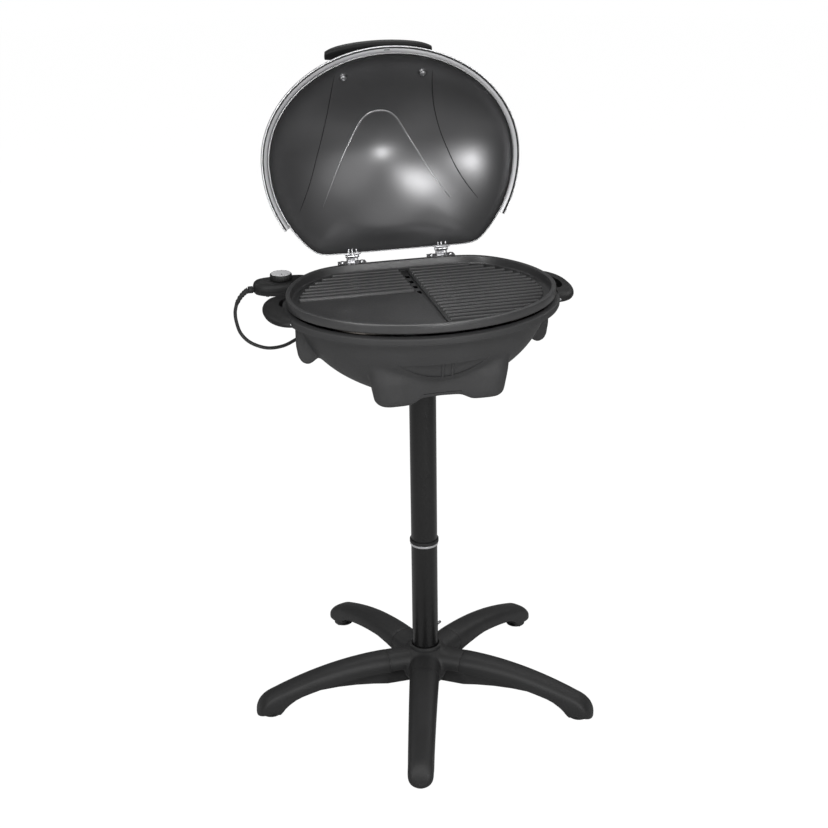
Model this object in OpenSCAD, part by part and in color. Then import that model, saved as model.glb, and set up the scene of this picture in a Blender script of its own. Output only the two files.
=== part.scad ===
// Electric barbecue grill on a five-legged column, with a domed lid on two hinges.
// Millimetres, +Z up. The origin is on the floor, under the axis of the column.
// +X runs along the hinge line and -Y is the front, where the lid's handle is.
// The lid is drawn open, against the stops of its hinges.

/* [Stand] */
// Height of the grill plate's rim above the floor
work_h = 700; // [660:5:740]
// Turn of the foot star about the column, from the front of the grill
star_turn = -106; // [-120:1:-90]
// Radius of the circle that the toes reach
foot_reach = 286; // [260:1:310]
// Width of a leg at its toe
toe_w = 40; // [34:1:44]
// Width of a leg where it leaves the hub
leg_w = 48; // [42:1:52]
// Height of the legs' crown at the hub
crown_h = 77; // [70:1:84]
// Height of the top of the hub's collar
hub_h = 86; // [84:1:96]
// Radius of the seam between hub and leg
seam_r = 66; // [60:1:74]
// Wall of the moulded legs and hub arms
leg_wall = 3; // [2:0.5:4]
// Outer diameter of the column's tubes
tube_d = 42; // [38:0.5:46]
// Wall of the column's tubes
tube_wall = 1.5; // [1:0.1:2.5]
// Height of the joint between the two tubes
joint_z = 269; // [230:1:320]

/* [Grill plate] */
// Half of the plate's width
plate_a = 205; // [190:1:220]
// Reach of the plate in front of its middle
plate_front = 161; // [150:1:175]
// Reach of the plate behind its middle to the flat back edge
plate_flat = 152; // [144:1:160]
// Height of the rim's outer skirt
skirt_h = 15; // [12:0.5:18]
// Width of the rim's top
rim_w = 7; // [5:0.5:9]
// Depth of the plate's valleys under the rim
valley_depth = 14; // [12:0.5:15]
// Height of the ribs and of the smooth field above the valleys
rib_h = 4.5; // [3:0.5:6]
// Width of one rib
rib_w = 6; // [4:0.5:8]
// Distance between two ribs
rib_pitch = 14.4; // [12:0.2:18]
// Number of ribs on the right half
ribs_right = 18; // [12:1:18]
// Number of ribs on the left half
ribs_left = 8; // [5:1:9]
// Thickness of the plate's floor
floor_t = 4; // [3:0.5:5]
// Diameter of the heating element's tube
element_d = 8; // [6:0.5:8.5]

/* [Bowl] */
// Depth of the bowl's round shell below its rim
bowl_depth = 123; // [112:1:130]
// Wall of the bowl
bowl_wall = 3; // [2:0.5:4]
// Height of the band around the bowl's rim
band_h = 13; // [10:0.5:16]
// Overhang of the bowl's band beyond the plate
band_out = 6; // [5:0.5:8]
// Half distance between the tabletop feet, sideways
foot_x = 77; // [70:1:84]
// Reach of one side handle beyond the bowl's band
handle_reach = 29; // [24:1:36]
// Half length of a side handle
handle_half = 80; // [70:1:88]
// Thickness of a side handle
handle_t = 14; // [10:0.5:16]

/* [Lid] */
// Angle through which the lid opens
lid_open = 99; // [92:1:102]
// Height of the lid's dome above its rim
lid_depth = 103; // [90:1:112]
// Thickness of the lid's sheet
lid_t = 1.6; // [1.2:0.1:2.4]
// Half of the lid shell's width
lid_a = 197; // [186:1:200]
// Width of the bright band around the lid's edge
trim_w = 10; // [8:0.5:12]
// Half distance between the two hinges
hinge_x = 72.6; // [60:0.2:90]
// Diameter of the hinge pins
pin_d = 3; // [2.5:0.1:3.2]
// Half distance between the lid handle's bolts
grip_x = 64; // [52:1:72]
// Half length of the lid's handle
grip_half = 86; // [80:1:96]

/* [Thermostat controller] */
// Distance of the controller's axis behind the column
ctl_y = 122; // [120:1:124]
// Half length of the controller's housing
ctl_half = 46; // [42:1:50]
// Half width of the controller's housing
ctl_wide = 26; // [22:1:28]
// Height of the controller's housing
ctl_h = 25; // [23:0.5:27]
// Wall of the controller's housing
ctl_wall = 2; // [1.5:0.1:2.5]
// Diameter of the thermostat knob
knob_d = 32; // [28:0.5:36]
// Height of the thermostat knob
knob_h = 9; // [7:0.5:11]
// Diameter of the probe
probe_d = 6; // [5:0.5:7]
// Length of the probe beyond the controller's nose
probe_len = 62; // [50:1:70]
// Distance between the two contact pins
pin_gap = 20; // [18:1:22]
// Diameter of the power cord
cord_d = 5.5; // [5:0.1:6]

/* [Hidden] */

$fn = 48;
run_fit = 0.05;        // radial clearance of shafts and plugs that turn or slide
seat_gap = 0.3;        // gap between curved faces of different moving bodies
round_n = 60;          // points around an oval shell

// ---- heights, all hung from the working height ----
rim_z = work_h;
skirt_z = rim_z - skirt_h;
valley_z = rim_z - valley_depth;
under_z = valley_z - floor_t;
bowl_z = skirt_z - 2;
band_z = bowl_z - band_h;
bowl_base_z = bowl_z - bowl_depth;
stand_z = rim_z - 144;
lid_edge_z = rim_z + 0.5;

// ---- ovals: [half width, front reach, rear reach, flat back, middle y, corner power] ----
plate_rear = plate_flat + 31;
plate_yc = -3;
plate_oval = [plate_a, plate_front, plate_rear, plate_flat, plate_yc, 16];
lid_front = plate_front - 1;
lid_rear = plate_flat + 38;
lid_flat = plate_flat - 7;
lid_yc = plate_yc + 10;
lid_oval = [lid_a, lid_front, lid_rear, lid_flat, lid_yc, 40];

// ---- hinge line ----
hinge_y = lid_yc + lid_flat + 5;
hinge_z = lid_edge_z + 8.5;
cheek_in = 7.5;
cheek_t = 1.5;
barrel_r = 3.3;
leaf_u = 3.3;          // leaf's distance from the hinge line
leaf_t = 1.5;

// ---- stand ----
legs_n = 5;
tube_r = tube_d / 2;
bore_r = tube_r + run_fit;
boss_r = tube_r + 9;
hub_floor_z = 18;
hub_seat_z = 24;
toe_r = toe_w / 2;
toe_c = foot_reach - toe_r;
pad_h = 3;
pad_r = toe_r - 4;
pad_stem_r = 5;
pad_ring_r = toe_c - 4;
crown_drop = 39;
wall_low_hub = 52;
wall_low_toe = 21;
arch_end_r = toe_c - 23;
web_t = 3;
ring_h = 4;
collar_h = 10;
socket_top_z = under_z - 82;
tube_top_z = socket_top_z - 1.6;
socket_wall = 4;
flange_r = tube_r + 22;

// ---- controller ----
ctl_x = -191;
ctl_top_z = rim_z - 7;
ctl_low_z = ctl_top_z - ctl_h;
ctl_seam_z = ctl_low_z + 12;
ctl_gap = 2.5;
probe_z = under_z - 6;
nose_x = -126;
nose_half = pin_gap / 2 + 8;
block_x1 = nose_x + 2;
block_x2 = block_x1 + 20;
contact_r = 2.5;
knob_x = -193;
gland_x = ctl_x - ctl_half;
gland_z = probe_z + 4;
gland_r = 5.5;

// ---- cord: points chosen along its hanging line ----
loop_pts = [[-264, 122, 659], [-267, 122, 646], [-266, 122, 630], [-260, 122, 610],
    [-245, 122, 593], [-220, 122, 582], [-194, 122, 583], [-172.7, 122.9, 591.8]];
drop_pts = [[-172, 123, 592], [-150, 126, 598], [-120, 129, 600], [-90, 130, 595],
    [-62, 127, 583], [-40, 116, 565], [-22, 94, 540], [-8, 66, 508], [2, 44, 470],
    [7, 33, 430], [8, 31, 380], [8, 31, 250], [9, 34, 180], [12, 45, 130], [15, 56, 95],
    [16, 61, 68], [16, 62, 48]];
relief_pts = [[-245, 122, 680], [-251, 122, 676], [-258, 122, 669], [-264, 122, 659]];
cord_r = cord_d / 2;
coil_r = 31;
coil_turns = 3;
coil_h = coil_turns * cord_d;
star_view = 76;        // bearing of the coil from the column, between the rear legs
coil_far = 93;
coil_c = [coil_far * cos(star_view), coil_far * sin(star_view)];

function pick(list, a, b) = [for (i = [a:b]) list[i]];
function along(o, e) = [coil_c[0] + o * cos(star_view) - e * sin(star_view),
    coil_c[1] + o * sin(star_view) + e * cos(star_view)];
// point on the coil's cylinder, turned by w from its side nearest to the column
function on_coil(w, z) = concat(along(-coil_r * cos(w), coil_r * sin(w)), [z]);
lead_in = [for (i = [1:6]) let(w = 22 * i)
    on_coil(w, coil_h + cord_r + (48 - coil_h - cord_r) * pow(1 - i / 6, 2.4))];
lead_out = [[0, 31], [20, 31], [38, 24], [56, 12]];
plug_turn = star_view - 34;

// ---- general shapes ----
function oval_r(t, o, grow) =
    let(b = (sin(t) > 0 ? o[2] : o[1]) + grow,
        e = 1 / sqrt(pow(cos(t) / (o[0] + grow), 2) + pow(sin(t) / b, 2)),
        k = sin(t) > 0.05 ? pow(e * sin(t) / (o[3] + grow), o[5]) : 0)
    e / pow(1 + k, 1 / o[5]);
function oval_ring(o, grow, s, z, n = round_n) = [for (i = [0:n - 1])
    let(t = 360 * i / n, r = s * oval_r(t, o, grow)) [r * cos(t), o[4] + r * sin(t), z]];
function oval_2d(o, grow, n = 96) = [for (i = [0:n - 1])
    let(t = 360 * i / n, r = oval_r(t, o, grow)) [r * cos(t), o[4] + r * sin(t)]];
function lens(half_l, half_w, p, n = 40) = [for (i = [0:n - 1])
    let(t = 360 * i / n, k = pow(pow(abs(cos(t)), p) + pow(abs(sin(t)), p), -1 / p))
    [half_l * k * cos(t), half_w * k * sin(t)]];

// closed solid through a list of rings, capped at both ends
module skin(rings) {
    n = len(rings[0]);
    m = len(rings);
    polyhedron(points = [for (r = rings) each r], faces = concat(
        [[for (i = [0:n - 1]) i], [for (i = [n - 1:-1:0]) (m - 1) * n + i]],
        [for (k = [0:m - 2]) for (i = [0:n - 1]) let(j = (i + 1) % n) each
            [[k * n + i, (k + 1) * n + i, (k + 1) * n + j],
             [k * n + i, (k + 1) * n + j, k * n + j]]]), convexity = 6);
}

function unit(v) = v / norm(v);
function mean_dir(p, i) = unit(p[min(i + 1, len(p) - 1)] - p[max(i - 1, 0)]);
// point u of a smooth curve through the list p
function spline(p, u) =
    let(i = min(floor(u), len(p) - 2), f = u - i,
        a = p[max(i - 1, 0)], b = p[i], c = p[i + 1], d = p[min(i + 2, len(p) - 1)])
    0.5 * (2 * b + (c - a) * f + (2 * a - 5 * b + 4 * c - d) * f * f
        + (3 * b - a - 3 * c + d) * f * f * f);
function smooth_path(p, per) = [for (i = [0:(len(p) - 1) * per]) spline(p, i / per)];

// round tube through a smooth path, with its radius running from r1 to r2
module sweep(path, r1, r2, sides, ref = [0, 1, 0]) {
    last = len(path) - 1;
    skin([for (i = [0:last]) let(t = mean_dir(path, i), u = unit(cross(ref, t)), v = cross(t, u),
        r = r1 + (r2 - r1) * i / last) [for (j = [0:sides - 1]) let(w = 360 * j / sides)
        path[i] + r * (u * cos(w) + v * sin(w))]]);
}

// ---- foot star ----
function leg_bearing(k) = star_turn + k * 360 / legs_n;
function leg_run(r) = (r - seam_r) / (toe_c - 6 - seam_r);
function crown_z(r) = crown_h - crown_drop * pow(max(leg_run(r), 0), 2);
function wall_low(r) = wall_low_hub - (wall_low_hub - wall_low_toe)
    * pow(max(r - seam_r, 0) / (arch_end_r - seam_r), 2);
function leg_half(r) = (leg_w + (toe_w - leg_w) * max(leg_run(r), 0)) / 2;
// arched section, open below, in the plane at radius r
function leg_ring(r, n = 8) =
    let(h = leg_half(r), top = crown_z(r), low = wall_low(r), sh = top - h * 0.86)
    concat([[r, h, low]],
        [for (i = [0:n]) let(w = 180 * i / n, k = pow(pow(abs(cos(w)), 2.6)
            + pow(abs(sin(w)), 2.6), -1 / 2.6)) [r, h * k * cos(w), sh + (top - sh) * k * sin(w)]],
        [[r, -h, low]],
        [for (i = [n / 2:-1:-n / 2]) let(w = 90 + 180 * i / n, g = h - leg_wall,
            k = pow(pow(abs(cos(w)), 2.6) + pow(abs(sin(w)), 2.6), -1 / 2.6))
            [r, i == n / 2 ? -g : i == -n / 2 ? g : g * k * cos(w),
             i == n / 2 || i == -n / 2 ? low : sh + (top - leg_wall - sh) * k * sin(w)]]);
// solid section of the toe
function toe_ring(r, n = 14) =
    let(f = r > toe_c ? sqrt(max(1 - pow((r - toe_c) / toe_r, 2), 0.02)) : 1, h = toe_r * f,
        g = pow(max(1 - pow(max(r - toe_c + 6, 0) / (toe_r + 6), 2.4), 0.05), 0.5),
        top = pad_h + (crown_z(min(r, toe_c - 6)) - pad_h) * g, mid = (top + pad_h) * 0.42)
    [for (i = [0:n - 1]) let(w = 360 * i / n, k = pow(pow(abs(cos(w)), 3)
        + pow(abs(sin(w)), 3), -1 / 3)) [r, h * k * cos(w),
        sin(w) > 0 ? mid + (top - mid) * k * sin(w) : mid + (mid - pad_h) * k * sin(w)]];

toe_n = 9;
function toe_x(i) = arch_end_r + (foot_reach - arch_end_r)
    * (i < 5 ? i / 7 : 1 - 2 / 7 * pow((toe_n - i) / (toe_n - 5), 1.9));

module leg_web(r1, r2) {
    low = [for (r = [r1, r1 + (r2 - r1) * 0.4, r1 + (r2 - r1) * 0.75, r2])
        [r, r < 110 ? 20 : 20 + (wall_low(r) + 4 - 20) * pow((r - 110) / (arch_end_r - 110), 1.6)]];
    rotate([90, 0, 0]) translate([0, 0, -web_t / 2]) linear_extrude(web_t)
        polygon(concat(low, [for (r = [r2, (r1 + r2) / 2, r1])
            [r, crown_z(r) - leg_wall / 2]]));
}

// solid wall across the arched section
function bulk_ring(r, n = 8) =
    let(h = leg_half(r) - 1.2, top = crown_z(r) - 1.2, low = wall_low(r) + 2, sh = top - h * 0.86)
    concat([[r, h, low]],
        [for (i = [0:n]) let(w = 180 * i / n, k = pow(pow(abs(cos(w)), 2.6)
            + pow(abs(sin(w)), 2.6), -1 / 2.6)) [r, h * k * cos(w), sh + (top - sh) * k * sin(w)]],
        [[r, -h, low]]);

module leg(k) {
    color("#1d1e20") rotate([0, 0, leg_bearing(k)]) {
        skin([for (i = [0:9]) let(r = seam_r + (arch_end_r + 6 - seam_r) * i / 9) leg_ring(r)]);
        difference() {
            for (i = [0:toe_n - 1]) hull() skin([toe_ring(toe_x(i)), toe_ring(toe_x(i + 1))]);
            translate([pad_ring_r, 0, 0]) cylinder(r = pad_stem_r + 0.2, h = pad_h + 8);
        }
        leg_web(seam_r, arch_end_r + 2);
        skin([bulk_ring(seam_r), bulk_ring(seam_r + leg_wall)]);
    }
}

// wall that closes the corner between two arms
module hub_fillet() {
    for (s = [-1, 1]) hull() {
        translate([boss_r + 5, -3, hub_floor_z + 8]) cube([3, 6, crown_h - hub_floor_z - 26]);
        rotate([0, 0, s * 180 / legs_n])
            translate([seam_r * 0.7, -s * (leg_w / 2 - 2.5) - 2, wall_low_hub - 18])
            cube([4, 4, crown_h - wall_low_hub + 4]);
    }
}

module base_hub() {
    color("#1b1c1e") {
        rotate_extrude() polygon([[bore_r, hub_seat_z], [5, hub_seat_z], [5, hub_floor_z],
            [boss_r - 3, hub_floor_z], [boss_r, hub_floor_z + 4], [boss_r, crown_h - 3],
            [tube_r + 7.5, crown_h + 1], [tube_r + 6, hub_h - 2], [tube_r + 4.5, hub_h],
            [bore_r, hub_h]]);
        difference() {
            for (k = [0:legs_n - 1]) rotate([0, 0, leg_bearing(k)]) {
                skin([for (r = [tube_r + 2, seam_r * 0.55, seam_r * 0.78, seam_r]) leg_ring(r)]);
                leg_web(tube_r + 2, seam_r);
                skin([bulk_ring(seam_r - leg_wall), bulk_ring(seam_r)]);
                rotate([0, 0, 180 / legs_n]) hub_fillet();
            }
            translate([0, 0, hub_floor_z - 1]) cylinder(r = boss_r - 2, h = hub_h);
        }
    }
}

module floor_pads() {
    color("#101010") for (k = [0:legs_n - 1]) rotate([0, 0, leg_bearing(k)])
        translate([pad_ring_r, 0, 0]) {
            cylinder(r = pad_r, h = pad_h);
            cylinder(r = pad_stem_r, h = pad_h + 7);
        }
}

module leg_screws() {
    color("#8d8f92") for (k = [0:legs_n - 1]) rotate([0, 0, leg_bearing(k)]) for (s = [-1, 1])
        translate([seam_r - leg_wall, s * 9, crown_h - 16]) rotate([0, 90, 0]) {
            cylinder(r = 2, h = 2 * leg_wall + 6);
            translate([0, 0, -3]) cylinder(r = 4, h = 3);
        }
}

module tube(z1, z2) {
    translate([0, 0, z1]) difference() {
        cylinder(r = tube_r, h = z2 - z1);
        translate([0, 0, -1]) cylinder(r = tube_r - tube_wall, h = z2 - z1 + 2);
    }
}

module lower_tube() {
    color("#17181a") tube(hub_seat_z, joint_z);
}

module joint_ring() {
    color("#d9dbde") translate([0, 0, joint_z]) difference() {
        cylinder(r = tube_r + 1.5, h = ring_h);
        translate([0, 0, -1]) cylinder(r = tube_r - tube_wall, h = ring_h + 2);
    }
}

module joint_coupler() {
    color("#7c7f83") translate([0, 0, joint_z - 24]) difference() {
        cylinder(r = tube_r - tube_wall, h = 52);
        translate([0, 0, -1]) cylinder(r = tube_r - tube_wall - 2.5, h = 54);
    }
}

module upper_tube() {
    color("#17181a") {
        tube(joint_z + ring_h, tube_top_z);
        translate([0, 0, joint_z + ring_h]) difference() {
            cylinder(r = tube_r + 1.5, h = collar_h);
            translate([0, 0, -1]) cylinder(r = tube_r - 0.5, h = collar_h + 2);
        }
    }
}

module tube_foot_insert() {
    color("#6d7074") translate([0, 0, hub_seat_z]) difference() {
        cylinder(r = tube_r - tube_wall, h = 22);
        translate([0, 0, -1]) cylinder(r = 4, h = 24);
    }
}

module column_bolt() {
    color("#9a9da1") {
        translate([0, 0, hub_floor_z - 2]) cylinder(r = 11, h = 2);
        translate([0, 0, hub_floor_z - 8]) cylinder(r = 7, h = 6, $fn = 6);
        translate([0, 0, hub_floor_z - 3]) cylinder(r = 4, h = 32);
    }
}

module tube_cap() {
    color("#222325") {
        translate([0, 0, tube_top_z - 12]) cylinder(r = tube_r - tube_wall, h = 12);
        translate([0, 0, tube_top_z]) cylinder(r = tube_r - 0.5, h = 1.5);
    }
}

// ---- bowl ----
function bowl_t(z) = min(max((band_z + 2 - z) / (band_z + 2 - bowl_base_z), 0), 1);
function bowl_s(z) = 0.955 * (1 - 0.22 * bowl_t(z) - 0.30 * pow(bowl_t(z), 3));
shell_n = 8;
ledge_z = bowl_z - 43;
inner_cut = bowl_wall / 180;
bowl_outer = concat([oval_ring(plate_oval, 0, bowl_s(bowl_base_z) - 0.05, bowl_base_z)],
    [for (i = [0:shell_n]) let(z = bowl_base_z + 4 + (band_z - 4 - bowl_base_z)
        * pow(i / shell_n, 1.3)) oval_ring(plate_oval, 0, bowl_s(z), z)],
    [oval_ring(plate_oval, band_out - 1, 1, band_z), oval_ring(plate_oval, band_out, 1, band_z + 2),
     oval_ring(plate_oval, band_out, 1, bowl_z - 2), oval_ring(plate_oval, band_out - 2, 1, bowl_z)]);
bowl_inner = concat([oval_ring(plate_oval, -6, 1, bowl_z), oval_ring(plate_oval, -8, 1, band_z + 6)],
    [for (z = [band_z, ledge_z + 8, ledge_z]) oval_ring(plate_oval, 0, bowl_s(z) - inner_cut, z)],
    [oval_ring(plate_oval, 0, bowl_s(ledge_z) - 0.05, ledge_z),
     oval_ring(plate_oval, 0, bowl_s(ledge_z - 7) - 0.03, ledge_z - 7)],
    [for (i = [1:4]) let(z = ledge_z - 7 - (ledge_z - 9 - bowl_base_z - bowl_wall) * i / 4)
        oval_ring(plate_oval, 0, bowl_s(z) - inner_cut - 0.006, z)],
    [oval_ring(plate_oval, 0, bowl_s(bowl_base_z) - 0.07, bowl_base_z + bowl_wall)]);
foot_front_y = -105;
foot_rear_y = 84;
block_half = 22;
block_y1 = plate_yc + plate_flat + 3.5;
block_y2 = hinge_y + 10;
block_z = lid_edge_z - 3.5;
lug_z = under_z - 0.02;
lug_w = 8;

module bowl_foot(sx, y) {
    top = y < 0 ? -78 : 66;
    hull() {
        translate([sx * foot_x, y, stand_z + pad_h]) cylinder(r = 20, h = 2, $fn = 24);
        translate([sx * foot_x, y, stand_z + 14]) cylinder(r = 26, h = 2, $fn = 24);
        translate([sx * (foot_x + 2), top, bowl_z - 52]) cylinder(r = 34, h = 1, $fn = 24);
    }
}

fin_t = 16.4;
fin_y = -30.3;

module side_fin(sx) {
    translate([0, fin_y + fin_t / 2, 0]) rotate([90, 0, 0]) linear_extrude(fin_t)
        polygon([[sx * (plate_a - 52), band_z - 31], [sx * (plate_a - 47), band_z - 1],
            [sx * (plate_a - 10), band_z + 1], [sx * (plate_a - 10), band_z - 43],
            [sx * (plate_a - 14), band_z - 53], [sx * (plate_a - 24), band_z - 60],
            [sx * (plate_a - 57), band_z - 60]]);
}

module hinge_block(sx) {
    hull() {
        translate([sx * hinge_x - block_half, block_y1, bowl_z - 4])
            cube([2 * block_half, block_y2 - block_y1, block_z - bowl_z + 4]);
        translate([sx * hinge_x - block_half - 3, block_y1 - 2, band_z + 3])
            cube([2 * block_half + 6, 7, 4]);
    }
}

module bowl_lug(t) {
    r = oval_r(t, plate_oval, 0);
    translate([0, plate_yc, 0]) rotate([0, 0, t]) translate([0, lug_w / 2, 0]) rotate([90, 0, 0])
        linear_extrude(lug_w) polygon([[0.942 * r - 5.5, lug_z], [r - 4, lug_z], [r - 4, band_z + 3],
            [bowl_s(band_z) * r - 1.7, band_z - 1], [bowl_s(band_z - 11) * r - 1.7, band_z - 11],
            [bowl_s(band_z - 15) * r - 5, band_z - 15], [0.942 * r - 5.5, lug_z - 7]]);
}

module bowl() {
    color("#232427") difference() {
        union() {
            skin(concat(bowl_outer, bowl_inner));
            difference() {
                union() {
                    for (sx = [-1, 1]) {
                        bowl_foot(sx, foot_front_y);
                        bowl_foot(sx, foot_rear_y);
                        side_fin(sx);
                    }
                    intersection() {
                        translate([0, 0, bowl_base_z + 16]) linear_extrude(44)
                            polygon(oval_2d([foot_x + 70, 112, 112, 200, plate_yc, 16], 0));
                        translate([-foot_x, -140, bowl_base_z]) cube([2 * foot_x, 40, 90]);
                    }
                }
                skin(concat([for (z = [bowl_base_z - 1, bowl_base_z + 4]) oval_ring(plate_oval, 0,
                    bowl_s(bowl_base_z) - 0.07, z)], [for (z = [bowl_base_z + 20:20:bowl_z])
                    oval_ring(plate_oval, 0, bowl_s(z) - 0.012, z)]));
            }
            for (sx = [-1, 1]) hinge_block(sx);
            for (t = [24, 172, 214, 326]) bowl_lug(t);
        }
        translate([0, 0, bowl_base_z - 10]) rotate([0, 0, 4])
            cylinder(r = bore_r + socket_wall + seat_gap, h = 60, $fn = 24);
        translate([ctl_x - 60, ctl_y - ctl_wide - 3, ctl_low_z - 4])
            cube([block_x2 + 70 - ctl_x, 2 * ctl_wide + 14, 60]);
        translate([0, -139.6, bowl_base_z + 69]) rotate([90, 0, 0]) linear_extrude(60)
            polygon(concat([[62, 0]], [for (i = [1:11]) [62 * cos(15 * i), -23 * sin(15 * i)]],
                [[-62, 0]]));
    }
}

screw_ring_r = flange_r - 7;
socket_screw_r = 2;

module column_socket() {
    color("#34363a") difference() {
        socket_body();
        for (k = [0:3]) rotate([0, 0, 45 + 90 * k])
            translate([screw_ring_r, 0, bowl_base_z]) cylinder(r = socket_screw_r, h = bowl_wall + 6);
    }
}

module socket_body() {
    rotate_extrude() polygon([[0, socket_top_z], [bore_r, socket_top_z],
        [bore_r, bowl_base_z - 14], [bore_r + socket_wall, bowl_base_z - 14],
        [bore_r + socket_wall, bowl_base_z + bowl_wall], [flange_r, bowl_base_z + bowl_wall],
        [flange_r, bowl_base_z + bowl_wall + 4], [bore_r + socket_wall, bowl_base_z + bowl_wall + 4],
        [bore_r + socket_wall, socket_top_z + 4], [0, socket_top_z + 4]]);
}

module socket_screws() {
    color("#9a9da1") for (k = [0:3]) rotate([0, 0, 45 + 90 * k])
        translate([screw_ring_r, 0, bowl_base_z + bowl_wall + 4]) {
            cylinder(r = 4, h = 2.5);
            translate([0, 0, -7]) cylinder(r = socket_screw_r, h = 8);
        }
}

module tabletop_pads() {
    color("#101010") for (sx = [-1, 1]) for (y = [foot_front_y, foot_rear_y])
        translate([sx * foot_x, y, stand_z]) cylinder(r = 14, h = pad_h);
}

// ---- side handles ----
handle_z = bowl_z - 2 - handle_t;
function handle_2d(sx) = [for (p = lens(handle_reach + 12, handle_half, 2.2))
    [sx * (plate_a + band_out - 12 + max(p[0], -4)), 4 + p[1]]];

module side_handle(sx) {
    color("#1c1d1f") translate([0, 0, handle_z]) linear_extrude(handle_t) difference() {
        polygon(handle_2d(sx));
        polygon(oval_2d(plate_oval, band_out + seat_gap));
        intersection() {
            polygon(oval_2d(plate_oval, band_out + 9));
            translate([sx * plate_a - 60, -44]) square([120, 96]);
        }
    }
}

module handle_screws() {
    color("#85888c") for (sx = [-1, 1]) for (y = [-54, 60]) {
        r = (plate_a + band_out) * sqrt(1 - pow((y - plate_yc)
            / ((y > 0 ? plate_rear : plate_front) + band_out), 2));
        translate([sx * (r - 4), y, handle_z + handle_t / 2]) rotate([0, 90, 0])
            cylinder(r = 2, h = 22, center = true);
        translate([sx * (r - 16), y, handle_z + handle_t / 2]) rotate([0, 90, 0])
            cylinder(r = 4, h = 3, center = true);
    }
}

// ---- hinges ----
hinge_screw_x = 16;
hinge_screw_y = 2;
hinge_screw_r = 1.6;
stop_w = 12;
stop_y = 8;
// height over the hinge line at which the opened leaf's tongue meets the stop
stop_top = leaf_u * sin(lid_open) + cos(lid_open) * (stop_y + leaf_u * cos(lid_open))
    / sin(lid_open) - 0.1;

module hinge_base(sx) {
    color("#cfd2d6") translate([sx * hinge_x, hinge_y, 0]) difference() {
        union() {
            translate([-block_half, block_y1 - hinge_y, block_z])
                cube([2 * block_half, block_y2 - block_y1, cheek_t]);
            for (s = [-1, 1]) translate([s > 0 ? cheek_in : -cheek_in - cheek_t, -3, block_z]) {
                cube([cheek_t, 6, hinge_z - block_z]);
                translate([0, 3, hinge_z - block_z]) rotate([0, 90, 0]) cylinder(r = 3, h = cheek_t);
            }
            translate([-stop_w / 2, stop_y - cheek_t, block_z])
                cube([stop_w, cheek_t, hinge_z - block_z + stop_top]);
        }
        translate([0, 0, hinge_z]) rotate([0, 90, 0])
            cylinder(r = pin_d / 2, h = 40, center = true);
        for (s = [-1, 1]) translate([s * hinge_screw_x, hinge_screw_y, block_z - 1])
            cylinder(r = hinge_screw_r, h = cheek_t + 2);
    }
}

module hinge_screws() {
    color("#b9bcc0") for (sx = [-1, 1]) for (s = [-1, 1])
        translate([sx * hinge_x + s * hinge_screw_x, hinge_y + hinge_screw_y, block_z + cheek_t]) {
            cylinder(r1 = 3.6, r2 = 2.6, h = 2.2);
            translate([0, 0, -14]) cylinder(r = hinge_screw_r, h = 15);
        }
}

module hinge_pin(sx) {
    color("#d7d9dc") translate([sx * hinge_x, hinge_y, hinge_z]) rotate([0, 90, 0]) {
        cylinder(r = pin_d / 2, h = 2 * (cheek_in + cheek_t) + 1, center = true);
        for (s = [-1, 1]) translate([0, 0, s * (cheek_in + cheek_t + 0.9)])
            cylinder(r = pin_d / 2 + 0.9, h = 1.8, center = true);
    }
}

// what belongs to the lid is drawn closed and turned open about the hinge line
module opened() {
    translate([0, hinge_y, hinge_z]) rotate([-lid_open, 0, 0])
        translate([0, -hinge_y, -hinge_z]) children();
}

finger_w = 3;
finger_pitch = 5.5;

module hinge_leaf(sx) {
    color("#c9ccd0") opened() translate([sx * hinge_x, hinge_y, hinge_z]) difference() {
        union() {
            rotate([0, 90, 0]) cylinder(r = barrel_r, h = 2 * cheek_in - 0.6, center = true);
            translate([-12.5, -leaf_u - leaf_t, -8]) cube([25, leaf_t, 11]);
            translate([-stop_w / 2 - 1, -leaf_u - leaf_t, -3]) cube([stop_w + 2, leaf_t + 0.8, 6]);
            translate([-stop_w / 2 + 0.5, -leaf_u - leaf_t, 0])
                cube([stop_w - 1, leaf_t, stop_y + 1.5]);
            for (k = [-1:1]) translate([k * finger_pitch - finger_w / 2, -leaf_u - 10.5, -4.4])
                cube([finger_w, 9.5, leaf_t]);
        }
        rotate([0, 90, 0]) cylinder(r = pin_d / 2 + run_fit, h = 40, center = true);
    }
}

// ---- drip pan ----
pan_s = bowl_s(ledge_z) - inner_cut - 0.012;
pan_t = 0.024;
pan_low_z = socket_top_z + 8;
function pan_ring(z, grow) = oval_ring(plate_oval, 0, pan_s - grow - 0.16
    * pow((ledge_z - z) / (ledge_z - pan_low_z), 1.4), z);

module drip_pan() {
    color("#a6a9ad") skin(concat([pan_ring(pan_low_z, 0.07)],
        [for (i = [1:4]) pan_ring(pan_low_z + (ledge_z - 2 - pan_low_z) * i / 4, 0.055)],
        [oval_ring(plate_oval, 0, pan_s - 0.055, ledge_z), oval_ring(plate_oval, 0, pan_s, ledge_z),
         oval_ring(plate_oval, 0, pan_s, ledge_z + 1.5)],
        [oval_ring(plate_oval, 0, pan_s - 0.055 - pan_t / 2, ledge_z + 1.5)],
        [for (i = [4:-1:1]) pan_ring(pan_low_z + 1.5 + (ledge_z - 2 - pan_low_z) * i / 4,
            0.055 + pan_t / 2)],
        [pan_ring(pan_low_z + 1.5, 0.075 + pan_t / 2)]));
}

// ---- grill plate ----
rib_y0 = plate_yc + plate_flat - 21;
rib_inset = 19;
rib_left_x = -4;
rib_right_x = 12.5;
griddle_x = 3;
slot_n = 4;
slot_pitch = 26;

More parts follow.
